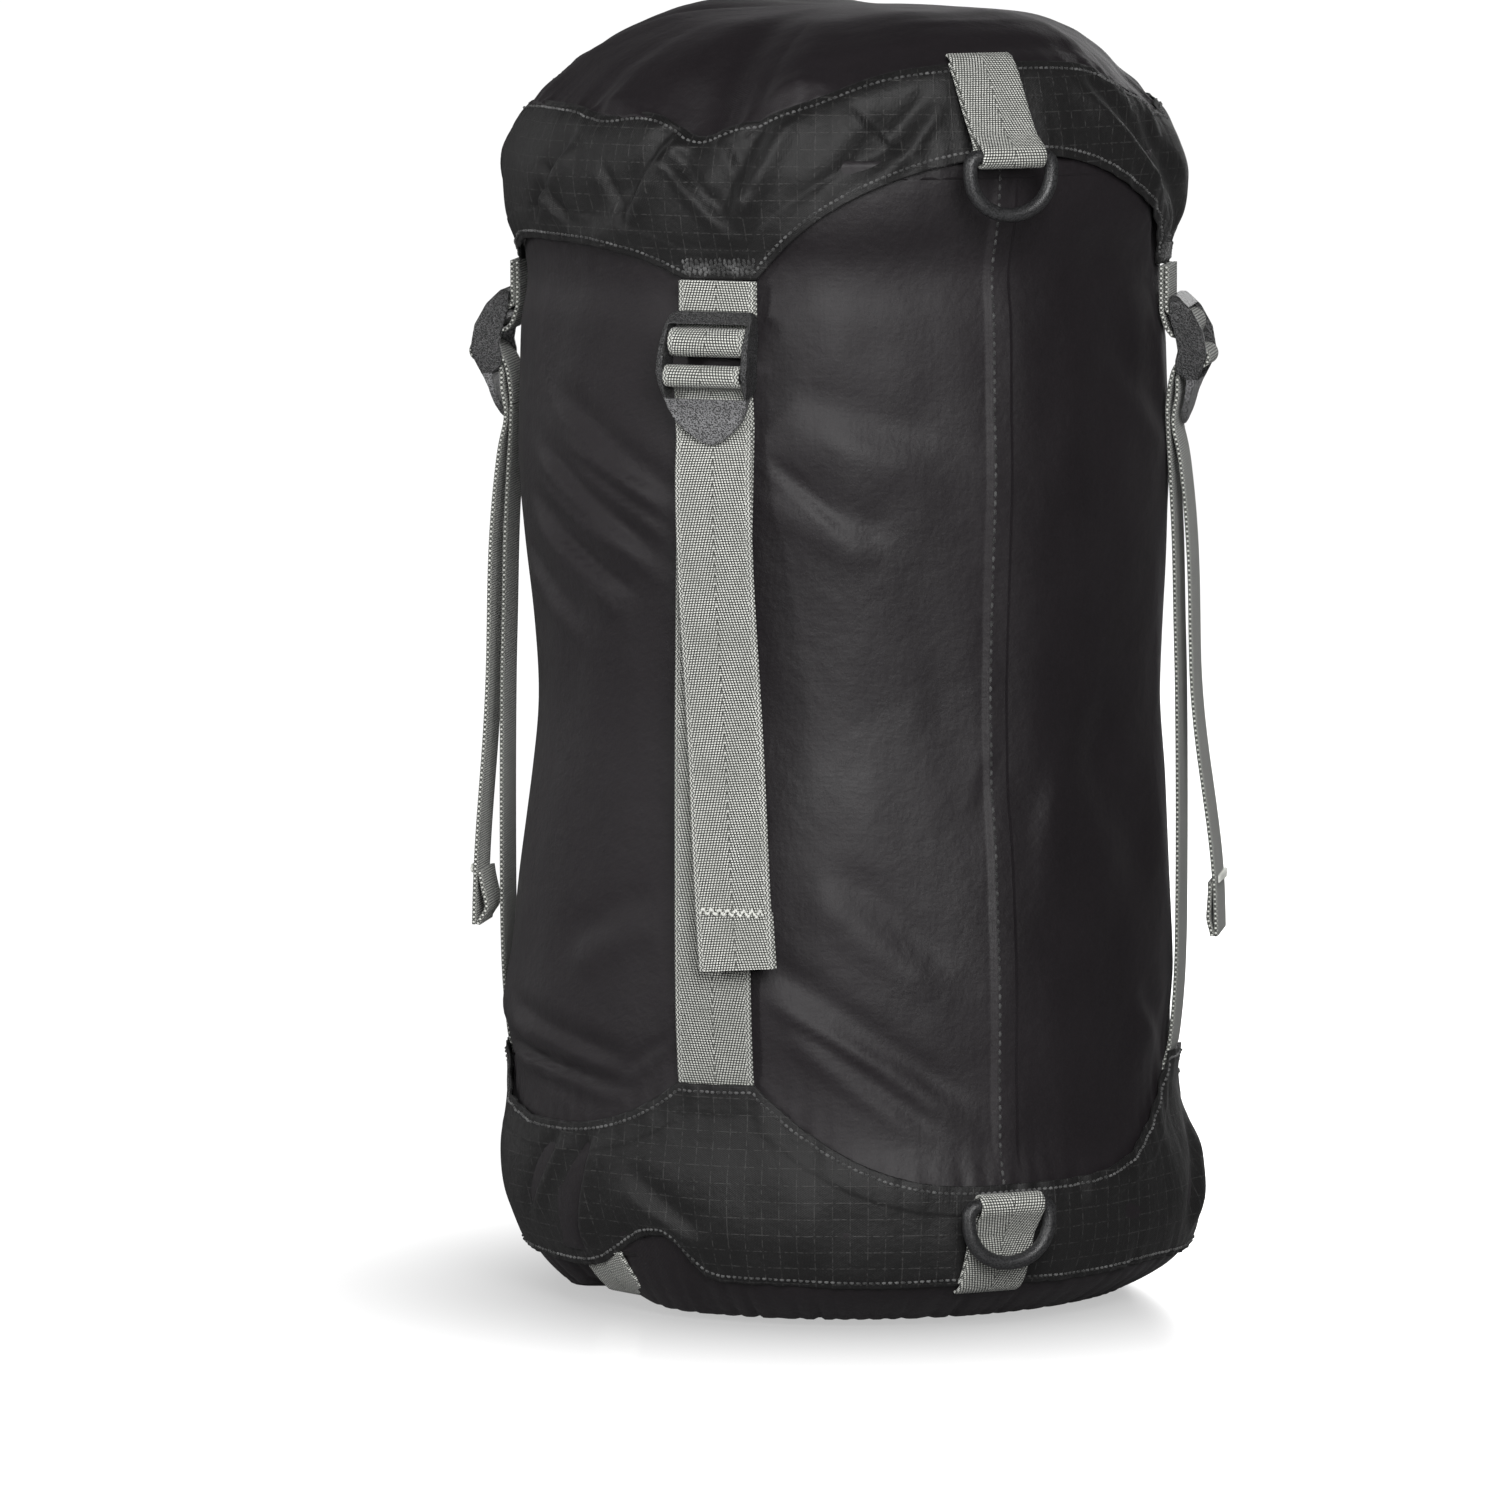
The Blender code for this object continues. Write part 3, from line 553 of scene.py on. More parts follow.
def sweep(name, path, width, angle):
    """Webbing along a path of (radius, across, height) at the front of the sack, then turned to its angle."""
    path = np.array(path, float)
    xyz = np.stack([path[:, 1], -path[:, 0], path[:, 2]], -1)
    tangent = np.gradient(xyz, axis=0)
    tangent /= np.linalg.norm(tangent, axis=1)[:, None]
    sideways = np.tile([1.0, 0, 0], (len(xyz), 1))
    sideways -= (sideways * tangent).sum(1)[:, None] * tangent
    sideways /= np.linalg.norm(sideways, axis=1)[:, None]
    normal = np.cross(sideways, tangent)
    half, h = width / 2 - WEB / 2, WEB / 2
    front = [(-half + 2 * half * i / WEB_CELLS, h) for i in range(WEB_CELLS + 1)]
    right = [(half + h * sin(t), h * cos(t)) for t in np.radians([45, 90, 135])]
    section = np.array(front + right + [(-x, -y) for x, y in front + right])
    count, n = len(xyz), len(section)
    points = xyz[:, None] + sideways[:, None] * section[None, :, :1] + normal[:, None] * section[None, :, 1:]
    run = np.concatenate([[0], np.cumsum(np.linalg.norm(np.diff(xyz, axis=0), axis=1))])
    faces, uvs = [], []
    for i in range(count - 1):
        for j in range(n):
            k = (j + 1) % n
            faces.append((i * n + j, i * n + k, (i + 1) * n + k, (i + 1) * n + j))
            uvs += [(section[m, 0], run[row]) for m, row in ((j, i), (k, i), (k, i + 1), (j, i + 1))]
    for row, order in ((0, range(n - 1, -1, -1)), (count - 1, range(n))):
        faces.append(tuple(row * n + j for j in order))
        uvs += [(section[j, 0], run[row] + section[j, 1]) for j in order]
    mesh = bpy.data.meshes.new(name)
    mesh.from_pydata(points.reshape(-1, 3).tolist(), [], faces)
    layer = mesh.uv_layers.new(name="UVMap")
    layer.data.foreach_set("uv", np.array(uvs, np.float32).ravel())
    cleaned(mesh)
    mesh.transform(Matrix.Rotation(radians(angle), 4, "Z"))
    mesh.shade_smooth()
    mesh.set_sharp_from_angle(angle=radians(50))
    return link(name, mesh)


def tube(name, points, radius, sides=20, closed=False):
    """A round rod along a path."""
    curve = bpy.data.curves.new(name, "CURVE")
    curve.dimensions = "3D"
    curve.bevel_depth = radius
    curve.bevel_resolution = sides // 4
    curve.use_fill_caps = not closed
    spline = curve.splines.new("POLY")
    spline.points.add(len(points) - 1)
    weighted = np.column_stack([points, np.ones(len(points))])
    spline.points.foreach_set("co", weighted.astype(np.float32).ravel())
    spline.use_cyclic_u = closed
    source = link(name, curve)
    graph = bpy.context.evaluated_depsgraph_get()
    mesh = bpy.data.meshes.new_from_object(source.evaluated_get(graph))
    bpy.data.objects.remove(source)
    cleaned(mesh, 1e-6)
    mesh.shade_smooth()
    return link(name, mesh)


def softened(node, voxel, passes):
    """A finer copy of a moulded CAD piece, its edges and facets rounded as a mould leaves them."""
    made = link(node + "_moulding", bpy.data.objects[node].data.copy())
    remesh = made.modifiers.new("Remesh", "REMESH")
    remesh.mode = "VOXEL"
    remesh.voxel_size = voxel
    soften = made.modifiers.new("Soften", "SMOOTH")
    soften.factor = 0.5
    soften.iterations = passes
    applied(made)
    made.data.materials.clear()
    made.data.shade_smooth()
    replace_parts(made, node)
    return made


# ---- materials ----
class Shader:
    """A material's node tree, with short ways to add nodes."""

    def __init__(self, name):
        self.material = bpy.data.materials.new(name)
        self.material.use_nodes = True
        self.tree = self.material.node_tree
        self.surface = self.tree.nodes["Principled BSDF"]
        place = self.tree.nodes.new("ShaderNodeTexCoord")
        self.uv, self.object = place.outputs["UV"], place.outputs["Object"]

    def put(self, value, socket):
        if isinstance(value, bpy.types.NodeSocket):
            self.tree.links.new(value, socket)
        else:
            socket.default_value = value

    def maths(self, operation, *values):
        node = self.tree.nodes.new("ShaderNodeMath")
        node.operation = operation
        for socket, value in zip(node.inputs, values):
            self.put(value, socket)
        return node.outputs[0]

    def times(self, first, second):
        return self.maths("MULTIPLY", first, second)

    def parts(self, vector):
        node = self.tree.nodes.new("ShaderNodeSeparateXYZ")
        self.put(vector, node.inputs[0])
        return node.outputs

    def noise(self, scale, detail=2.0, roughness=0.5):
        node = self.tree.nodes.new("ShaderNodeTexNoise")
        self.put(self.object, node.inputs["Vector"])
        node.inputs["Scale"].default_value = scale
        node.inputs["Detail"].default_value = detail
        node.inputs["Roughness"].default_value = roughness
        return node.outputs["Fac"]

    def grains(self, scale):
        node = self.tree.nodes.new("ShaderNodeTexVoronoi")
        self.put(self.object, node.inputs["Vector"])
        node.inputs["Scale"].default_value = scale
        return node.outputs["Distance"]

    def ramp(self, value, low, high, start=0.0, end=1.0):
        """value from low to high becomes start to end, and stays between them."""
        node = self.tree.nodes.new("ShaderNodeMapRange")
        for socket, given in zip(node.inputs, (value, low, high, start, end)):
            self.put(given, socket)
        return node.outputs[0]

    def mix(self, share, first, second):
        node = self.tree.nodes.new("ShaderNodeMix")
        node.data_type = "RGBA"
        self.put(share, node.inputs["Factor"])
        for label, colour in (("A", first), ("B", second)):
            socket = next(i for i in node.inputs if i.name == label and i.type == "RGBA")
            self.put(colour if isinstance(colour, bpy.types.NodeSocket) else (*colour, 1), socket)
        return next(o for o in node.outputs if o.type == "RGBA")

    def bump(self, height, distance, strength=1.0, under=None):
        node = self.tree.nodes.new("ShaderNodeBump")
        node.inputs["Strength"].default_value = strength
        node.inputs["Distance"].default_value = distance
        self.put(height, node.inputs["Height"])
        if under is not None:
            self.put(under, node.inputs["Normal"])
        return node.outputs["Normal"]

    def finish(self, **sockets):
        for label, value in sockets.items():
            self.put(value, self.surface.inputs[label.replace("_", " ")])
        return self.material


def threads(shader, value, pitch):
    """A row of round threads across a coordinate, 0 to 1."""
    wave = shader.maths("SINE", shader.times(value, 2 * pi / pitch))
    return shader.maths("MULTIPLY_ADD", wave, 0.5, 0.5)


def nylon_material(name):
    """Calendered nylon: a tight plain weave with small creases and an uneven sheen."""
    s = Shader(name)
    u, v, _ = s.parts(s.uv)
    weave = s.times(threads(s, u, 0.00042), threads(s, v, 0.00042))
    crinkle = s.noise(60, 5.0, 0.62)
    patches = s.noise(17, 3.0)
    streaks = s.noise(420, 2.0)
    tone = s.maths("MULTIPLY_ADD", streaks, 0.35, s.times(patches, 0.65))
    colour = s.mix(s.ramp(tone, 0.3, 0.7), (0.0080, 0.0057, 0.0073), (0.0130, 0.0095, 0.0120))
    normal = s.bump(crinkle, 0.0022, 0.35)
    normal = s.bump(weave, 0.00006, 0.5, normal)
    return s.finish(
        Base_Color=colour, Roughness=s.ramp(patches, 0.3, 0.7, 0.50, 0.62), Normal=normal, Sheen_Weight=0.05,
        Sheen_Roughness=0.45, Sheen_Tint=(0.9, 0.86, 0.9, 1), Specular_IOR_Level=0.5,
    )


def ripstop_material(name):
    """Matte nylon with a heavier thread every few millimetres each way."""
    s = Shader(name)
    u, v, _ = s.parts(s.uv)
    lines = []
    for value in (u, v):
        spot = s.maths("PINGPONG", value, 0.0029)
        lines.append(s.ramp(spot, 0.00008, 0.00026, 1.0, 0.0))
    broken = s.ramp(s.noise(700, 1.0), 0.42, 0.60, 0.05, 1.0)
    lattice = s.times(s.maths("MAXIMUM", *lines), broken)
    twill = threads(s, s.maths("MULTIPLY_ADD", u, 0.6, v), 0.00062)
    weave = s.times(twill, threads(s, u, 0.00050))
    crinkle = s.noise(75, 5.0, 0.65)
    patches = s.noise(22, 3.0)
    ground = s.mix(s.ramp(patches, 0.3, 0.7), (0.0050, 0.0047, 0.0048), (0.0080, 0.0075, 0.0077))
    ground = s.mix(s.times(weave, 0.55), ground, (0.017, 0.0165, 0.0165))
    colour = s.mix(s.times(lattice, 0.8), ground, (0.050, 0.049, 0.048))
    normal = s.bump(crinkle, 0.0024, 0.45)
    normal = s.bump(s.maths("MULTIPLY_ADD", lattice, 1.2, weave), 0.00008, 0.7, normal)
    return s.finish(
        Base_Color=colour, Roughness=s.ramp(patches, 0.3, 0.7, 0.52, 0.62), Normal=normal, Sheen_Weight=0.04,
        Sheen_Roughness=0.5, Specular_IOR_Level=0.45,
    )


def webbing_material(name, upright_shaded=False):
    """Herringbone webbing: two bands of slanting ribs that meet in a dotted middle line. Upright webbing
    takes its lengthwise place from the height, so that its ribs keep their pitch when it is let out,
    and its pale threads are painted darker: painted shade on the strap that runs up the sack."""
    s = Shader(name)
    # painted shade: the upright copy's pale threads are a fifth darker than the free end's
    light = (0.80, 0.81, 0.76) if upright_shaded else (0.98, 0.99, 0.93)
    u, v, _ = s.parts(s.uv)
    if upright_shaded:
        v = s.parts(s.object)[2]
    off_middle = s.maths("ABSOLUTE", u)
    ribs = threads(s, s.maths("MULTIPLY_ADD", v, -0.27, off_middle), 0.00105)
    picks = threads(s, v, 0.00086)
    cloth = s.ramp(s.times(ribs, picks), 0.05, 0.36)
    middle = s.ramp(off_middle, 0.0003, 0.0006, 1.0, 0.0)
    edge = s.ramp(off_middle, WEB_WIDTH / 2 - 0.0022, WEB_WIDTH / 2 - 0.0016)
    pits = s.times(middle, s.ramp(threads(s, v, 0.0018), 0.55, 0.95))
    chain = threads(s, s.maths("MULTIPLY_ADD", threads(s, v, 0.0017), 0.0006, off_middle), 0.0011)
    inside = s.times(cloth, s.maths("SUBTRACT", 1.0, edge))
    cloth = s.maths("ADD", inside, s.times(chain, edge))
    cloth = s.times(cloth, s.maths("MULTIPLY_ADD", pits, -0.6, 1.0))
    fuzz = s.noise(2600, 2.0)
    wear = s.noise(90, 3.0)
    shade = s.maths("MULTIPLY_ADD", cloth, 1.0, s.times(fuzz, 0.25))
    colour = s.mix(s.ramp(shade, 0.15, 0.95), (0.030, 0.032, 0.028), light)
    colour = s.mix(s.ramp(wear, 0.35, 0.70, 0.0, 0.3), colour, (0.22, 0.23, 0.205))
    normal = s.bump(cloth, 0.00045, 1.0)
    normal = s.bump(fuzz, 0.00010, 0.5, normal)
    return s.finish(Base_Color=colour, Roughness=0.78, Normal=normal, Sheen_Weight=0.2, Sheen_Roughness=0.5)


def plastic_material(name, colour, roughness, grain, highlight_below=-1.0):
    """Moulded plastic with a spark-eroded grain. Its light specks are partly painted glints, and below a
    height the grain is painted far lighter, a painted highlight.
    """
    s = Shader(name)
    cells = s.grains(1700)
    fine = s.noise(3000, 2.0)
    patches = s.noise(130, 3.0)
    speck = s.ramp(s.maths("ADD", cells, fine), 0.86, 1.10)
    # the grain's specks are real; their lighter colour is painted glint, standing in for light caught by the
    # grain
    speck_glint_colour = tuple(min(1, c * (1 + 9 * grain)) for c in colour)
    base = s.mix(speck, colour, speck_glint_colour)
    base = s.mix(s.ramp(patches, 0.35, 0.75, 0.0, 0.3), base, tuple(c * 1.6 for c in colour))
    height = s.parts(s.object)[2]
    # painted highlight: below this height (the ladder lock's tongue) the grain is painted up to 34 times
    # lighter, standing in for the light on the tongue's grain
    lower = s.ramp(height, highlight_below - 0.0005, highlight_below, 1.0, 0.0)
    tongue_highlight = s.times(lower, s.ramp(speck, 0.0, 1.0, 0.12, 1.0))
    base = s.mix(tongue_highlight, base, tuple(min(1, c * 34) for c in colour))
    normal = s.bump(s.maths("ADD", cells, fine), 0.0003, grain)
    rough = s.ramp(patches, 0.3, 0.7, roughness - 0.05, roughness + 0.05)
    return s.finish(Base_Color=base, Roughness=rough, Normal=normal, Specular_IOR_Level=0.6)


def cord_material(name):
    s = Shader(name)
    x, y, z = s.parts(s.object)
    plies = [threads(s, s.maths(way, side, z), 0.0009) for way, side in (("ADD", x), ("SUBTRACT", y))]
    braid = s.times(*plies)
    fuzz = s.noise(2400, 2.0)
    colour = s.mix(s.ramp(s.maths("ADD", braid, fuzz), 0.3, 1.4), (0.012, 0.012, 0.012), (0.05, 0.05, 0.05))
    return s.finish(Base_Color=colour, Roughness=0.75, Normal=s.bump(braid, 0.0003, 0.9))


def metal_material(name):
    s = Shader(name)
    scratches = s.noise(700, 4.0)
    colour = s.mix(s.ramp(scratches, 0.3, 0.7), (0.42, 0.42, 0.43), (0.62, 0.62, 0.63))
    normal = s.bump(scratches, 0.00005, 0.4)
    rough = s.ramp(scratches, 0.3, 0.7, 0.25, 0.4)
    return s.finish(Base_Color=colour, Roughness=rough, Metallic=1.0, Normal=normal)


def thread_material(name, dark, light):
    s = Shader(name)
    twist = s.noise(5000, 2.0)
    bright = s.noise(160, 1.0)
    share = s.times(s.ramp(bright, 0.42, 0.62, 0.15, 1.0), s.ramp(twist, 0.3, 0.7, 0.6, 1.0))
    colour = s.mix(share, dark, light)
    return s.finish(Base_Color=colour, Roughness=0.6, Normal=s.bump(twist, 0.0002, 0.6), Sheen_Weight=0.3)


NYLON = nylon_material("smooth_nylon_cloth")
RIPSTOP = ripstop_material("ripstop_cloth")
WEBBING = webbing_material("herringbone_webbing")
SHADED_UPRIGHT_WEBBING = webbing_material("herringbone_webbing_upright", upright_shaded=True)
# the ladder lock's tongue starts 29 mm below the buckle's top and gets the painted highlight
BUCKLE_PLASTIC = plastic_material("grained_plastic", (0.0080, 0.0080, 0.0082), 0.34, 1.0, BUCKLE_TOP - 0.0290)
RING_PLASTIC = plastic_material("satin_plastic", (0.012, 0.012, 0.0125), 0.38, 0.3)
CORD = cord_material("braided_cord")
METAL = metal_material("plated_steel")
DARK_THREAD = thread_material("dark_thread", (0.012, 0.012, 0.012), (0.16, 0.16, 0.16))
SEAM_THREAD = thread_material("seam_thread", (0.006, 0.006, 0.006), (0.10, 0.10, 0.10))
GREY_THREAD = thread_material("grey_thread", (0.78, 0.79, 0.74), (0.95, 0.96, 0.90))


def dress(obj, finish):
    obj.data.materials.clear()
    obj.data.materials.append(finish)
    return obj


# ---- the sack's shells ----
# how far the rows of stitches stand in from the hems and from the two seams
EDGE_STITCH, LID_SEAM_STITCH, BASE_SEAM_STITCH = 0.0026, 0.0022, 0.0024


def make_shells():
    wall = dress(shell("sack_wall_cloth", wall_surface, 170), NYLON)
    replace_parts(wall, "sack_wall")
    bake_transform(wall)
    for node, surface, rows, body, disc in (
        ("lid_band", lid_surface, 64, "lid", False),
        ("lid_crown", crown_surface, 74, "lid", True),
        ("base_band", base_surface, 64, "root", False),
        ("bottom_panel", bottom_surface, 60, "root", True),
    ):
        finish, slot = (NYLON, "smooth_nylon") if disc else (RIPSTOP, "ripstop_nylon")
        piece = dress(shell(f"{node}_cloth", surface, rows, disc), finish)
        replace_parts(piece, node)
        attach(piece, body)


def seam_path(surface, shares_of):
    """A line round a surface whose share varies with the angle, with its outward normals."""
    a = np.arange(-180, 180.25, 0.5)
    return surface_frames(surface, a, shares_of(a))


def lid_share(a, from_edge):
    """The lid surface's share at this distance above its edge."""
    low = lid_unlifted(a, lid_edge(a))
    lifted = lid_unlifted(a, lid_edge(a) + from_edge * edge_steepness(lid_edge, a))
    return (lifted - low) / (LID_SEAM - low)


def base_share(a, from_edge):
    low = bottom_seam(a)
    return 1 - from_edge * edge_steepness(base_edge, a) / (base_edge(a) - low)


def sew(name, rows, body, finish=DARK_THREAD, **form):
    """Rows of stitches, each (path, normals), as one piece."""
    made = joined(name, [stitches(f"{name}_{i}", *row, **form) for i, row in enumerate(rows)])
    dress(made, finish)
    made.data.shade_smooth()
    if body is not None:
        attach(made, body)
    return made


def make_stitching():
    def lid_seam_share(a):
        return 1 - LID_SEAM_STITCH / (LID_SEAM - lid_unlifted(a, lid_edge(a)))

    def base_seam_share(a):
        return BASE_SEAM_STITCH / (base_edge(a) - bottom_seam(a))

    for name, body, surface, shares in (
        ("lid_stitching", "lid", lid_surface, (lambda a: lid_share(a, EDGE_STITCH), lid_seam_share)),
        ("base_stitching", "root", base_surface, (lambda a: base_share(a, EDGE_STITCH), base_seam_share)),
    ):
        sew(name, [seam_path(surface, share) for share in shares], body)
    heights = np.arange(0.05, 0.3995, 0.001)
    share = (heights - WALL_LOW) / (WALL_HIGH - WALL_LOW)
    rows = [surface_frames(wall_surface, np.full(len(share), WALL_SEAM), share)]
    seam = sew("wall_seam_stitching", rows, None, SEAM_THREAD, pitch=0.0032, length=0.0022)
    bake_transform(seam)
    for side, angle in STRAPS.items():
        strokes = np.linspace(0, 1, 10)
        turn, height = [], []
        for k in range(BARTACK_STROKES):
            turn.extend(angle - BARTACK_HALF + (k + strokes) * 2 * BARTACK_HALF / BARTACK_STROKES)
            height.extend(BARTACK_LOW + BARTACK_TALL * (strokes if k % 2 else 1 - strokes))
        turn, height = np.array(turn), np.array(height)
        rows = [surface_frames(lid_surface, turn, lid_share(turn, height))]
        sew(f"lid_bartack_{side}", rows, "lid", pitch=0.0019, length=0.0019)


# ---- drawcord mouth under the lid ----
SPRING_TURNS, SPRING_WIRE = 3, 0.0003
COLLAR_PATH = [
    (0.1105, 0.3955), (0.1102, 0.399), (0.1085, 0.4040), (0.1045, 0.408), (0.095, 0.412), (0.070, 0.4165),
    (0.047, 0.4195), (0.0405, 0.4215),
]
HEM_RADIUS, HEM_Z, HEM_CURL = 0.0345, 0.431, 0.004
CORD_RADIUS = 0.00125
# the cord's way (x, y) from the hem out through the eyelet to the lock, mirrored for its other end
CORD_END = [
    (0.0072, -0.0337), (0.0034, -0.0349), (0.0016, -0.0376),
    (0.0016, -0.0420), (0.0016, -0.0500), (0.0016, -0.0600),
]
pleats = waves(11, 22, 40)


def collar_surface(a, share):
    r, z = along_path(smooth(COLLAR_PATH), share)
    top = lid_skin(a, lid_edge(a)) - LID_GAP
    r = r + (top - COLLAR_PATH[0][0]) * (1 - smoothstep(share / 0.25))
    depth = 0.0022 * smoothstep(share / 0.3) * smoothstep((1 - share) / 0.12 + 0.25)
    return round_z(a, r, z + depth * pleats(a, share, 0.6))


def channel_surface(a, share):
    curl = np.radians(np.linspace(0, 240, 14))
    round_hem = np.stack([HEM_RADIUS + HEM_CURL * np.cos(curl), HEM_Z + HEM_CURL * np.sin(curl)], -1)
    r, z = along_path(np.concatenate([[(0.0425, 0.4208), (0.0392, 0.4245)], round_hem]), share)
    gather = 0.00045 * pleats(a, share, 0.3) * smoothstep(share / 0.1)
    return round_z(a, r + gather, z + gather)


def make_spring():
    (x0, y0, z0), (x1, y1, z1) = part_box("cord_lock_spring")
    x0, x1 = x0 + SPRING_WIRE / 2, x1 - SPRING_WIRE / 2
    radius, middle = (y1 - y0 - SPRING_WIRE) / 2, ((y0 + y1) / 2, (z0 + z1) / 2)
    turns = np.linspace(0, 2 * pi * SPRING_TURNS, 16 * SPRING_TURNS + 1)
    across = x0 + (x1 - x0) * turns / turns[-1]
    coil = [(x, middle[0] + radius * cos(t), middle[1] + radius * sin(t)) for x, t in zip(across, turns)]
    spring = dress(tube("cord_lock_coil", coil, SPRING_WIRE / 2, 8), METAL)
    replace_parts(spring, "cord_lock_spring")
    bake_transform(spring)


def make_mouth():
    collar = dress(shell("mouth_collar_cloth", collar_surface, 60), NYLON)
    channel = dress(shell("drawcord_channel_cloth", channel_surface, 40), NYLON)
    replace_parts(collar, "mouth_collar")
    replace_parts(channel, "drawcord_channel")
    middle = HEM_Z - 0.001
    loop = [(HEM_RADIUS * sin(radians(a)), -HEM_RADIUS * cos(radians(a)), middle) for a in range(20, 341, 5)]
    out = [(x, y, middle) for x, y in CORD_END]
    route = out[::-1] + loop + [(-x, y, z) for x, y, z in out]
    cord = dress(tube("drawcord_braid", smooth(route, 4), CORD_RADIUS, 12), CORD)
    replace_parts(cord, "drawcord")
    for piece in (collar, channel, cord):
        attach(piece, "mouth")
    for node, body in (("cord_lock_barrel", "mouth"), ("cord_lock_plunger", "plunger")):
        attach(dress(softened(node, 0.0003, 4), BUCKLE_PLASTIC), body)
    for kept in bpy.data.objects["drawcord_eyelet"].material_slots:
        kept.material = METAL
    make_spring()


# ---- straps, buckles and rings ----
LOAD_PATH = [
    (0.1142, 0.0800), (0.1153, 0.0838), (0.1168, 0.090), (0.1185, 0.108), (0.1192, 0.130), (0.1193, 0.170),
    (0.1190, 0.210), (0.1184, 0.236), (0.1176, 0.268), (0.1158, 0.300), (0.1153, 0.3102),
]
TAIL_PATH = [
    (BUCKLE_WALL + 0.0068, BUCKLE_TOP - 0.0342), (BUCKLE_WALL + 0.0065, BUCKLE_TOP - 0.0360),
    (BUCKLE_WALL + 0.0055, BUCKLE_TOP - 0.0420), (0.1177, 0.3035), (0.1199, 0.290), (0.1230, 0.250),
    (0.1255, 0.190), (0.1275, 0.149), (0.1285, 0.127),
]
# webbing round the buckle's two bars, (depth, height) from the wall and the buckle's top
ANCHOR_BAR, GRIP_BAR = (0.009, -0.0104, 0.0032), (0.0145, -0.0215, 0.0020)
ANCHOR_DOWN = [(0.00295, 0.0102), (0.00295, 0.002), (0.00295, -0.0040), (0.0036, -0.0056), (0.0056, -0.0064)]
ANCHOR_UP = [(0.0050, -0.0138), (0.0030, -0.0112), (0.0017, -0.0075), (0.0011, -0.004), (0.0011, 0.0102)]
WRAP_UP = [(0.0033, -0.0400), (0.0036, -0.0360), (0.0044, -0.0300), (0.0060, -0.0250), (0.0095, -0.0208)]
WRAP_DOWN = [(0.0108, -0.0250), (0.0080, -0.0260), (0.0069, -0.0285), (0.0068, -0.0320), (0.0068, -0.0342)]
BAR_GAP, RING_GAP = 0.0004, 0.0003
LEG_CUTS = (0.236, 0.268)  # the load strap's three lengths, each between two bodies
LOAD_FIXED = 0.0830
TAIL_FOLD, TAIL_BEND = 0.022, (0.304, 0.262)
# the zigzag across the tail: its strokes, how far it starts below the fold's end, and its height
TAIL_STROKES, TAIL_SEWN, TAIL_ZIGZAG = 16, 0.0035, 0.0024


def strip(name, path, angle, body=None, width=WEB_WIDTH, finish=WEBBING):
    """A length of webbing whose path is (radius, height), or (radius, across, height)."""
    path = np.array(path, float)
    if path.shape[1] == 2:
        path = np.insert(path, 1, 0, axis=1)
    made = dress(sweep(name, path, width, angle), finish)
    if body is not None:
        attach(made, body)
    return made


def cut(path, low, high):
    """The part of an upward path between two heights, its ends exact."""
    path = smooth(path, 12)
    z = path[:, 1]
    inner = path[(z > low + 1e-4) & (z < high - 1e-4)]
    ends = [(np.interp(h, z, path[:, 0]), h) for h in (low, high)]
    return np.array([ends[0], *inner, ends[1]])


def make_strap(side, angle):
    buckle = f"buckle_{side}"
    foot, top = LOAD_PATH[0][1], LOAD_PATH[-1][1]
    low_cut, high_cut = LEG_CUTS
    for part, low, high, first, second, start in (
        ("lower", foot, low_cut, "root", "mouth", LOAD_FIXED),
        ("middle", low_cut, high_cut, "mouth", "lid", low_cut),
        ("upper", high_cut, top, "lid", buckle, high_cut),
    ):
        leg = strip(f"load_strap_{part}_{side}", cut(LOAD_PATH, low, high), angle, finish=SHADED_UPRIGHT_WEBBING)
        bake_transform(leg)
        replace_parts(leg, f"load_strap_{side}")
    make_tail(side, angle)
    for node, down, bar, up, swing in (
        ("anchor_loop", ANCHOR_DOWN, ANCHOR_BAR, ANCHOR_UP, (100, -110)),
        ("strap_wrap", WRAP_UP, GRIP_BAR, WRAP_DOWN, (120, -95)),
    ):
        turns = arc(bar[:2], bar[2] + BAR_GAP + WEB / 2, *swing, 15)
        path = np.array(list(smooth(down, 6)) + turns + list(smooth(up, 6))) + (BUCKLE_WALL, BUCKLE_TOP)
        loop = strip(f"{node}_web_{side}", path, angle, buckle)
        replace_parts(loop, f"{node}_{side}")
    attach(dress(softened(f"ladder_lock_{side}", 0.00035, 6), BUCKLE_PLASTIC), buckle)


# how far each free end swings sideways, how far its fold stands open, and how far it hangs away from the sack
TAIL_SWAY = {
    "front_left": (0.0130, 0.0, 0.0), "front_right": (0.0030, 0.0016, 0.0038),
    "rear_right": (-0.0040, 0.0, 0.0), "rear_left": (0.0030, 0.004, 0.0),
}


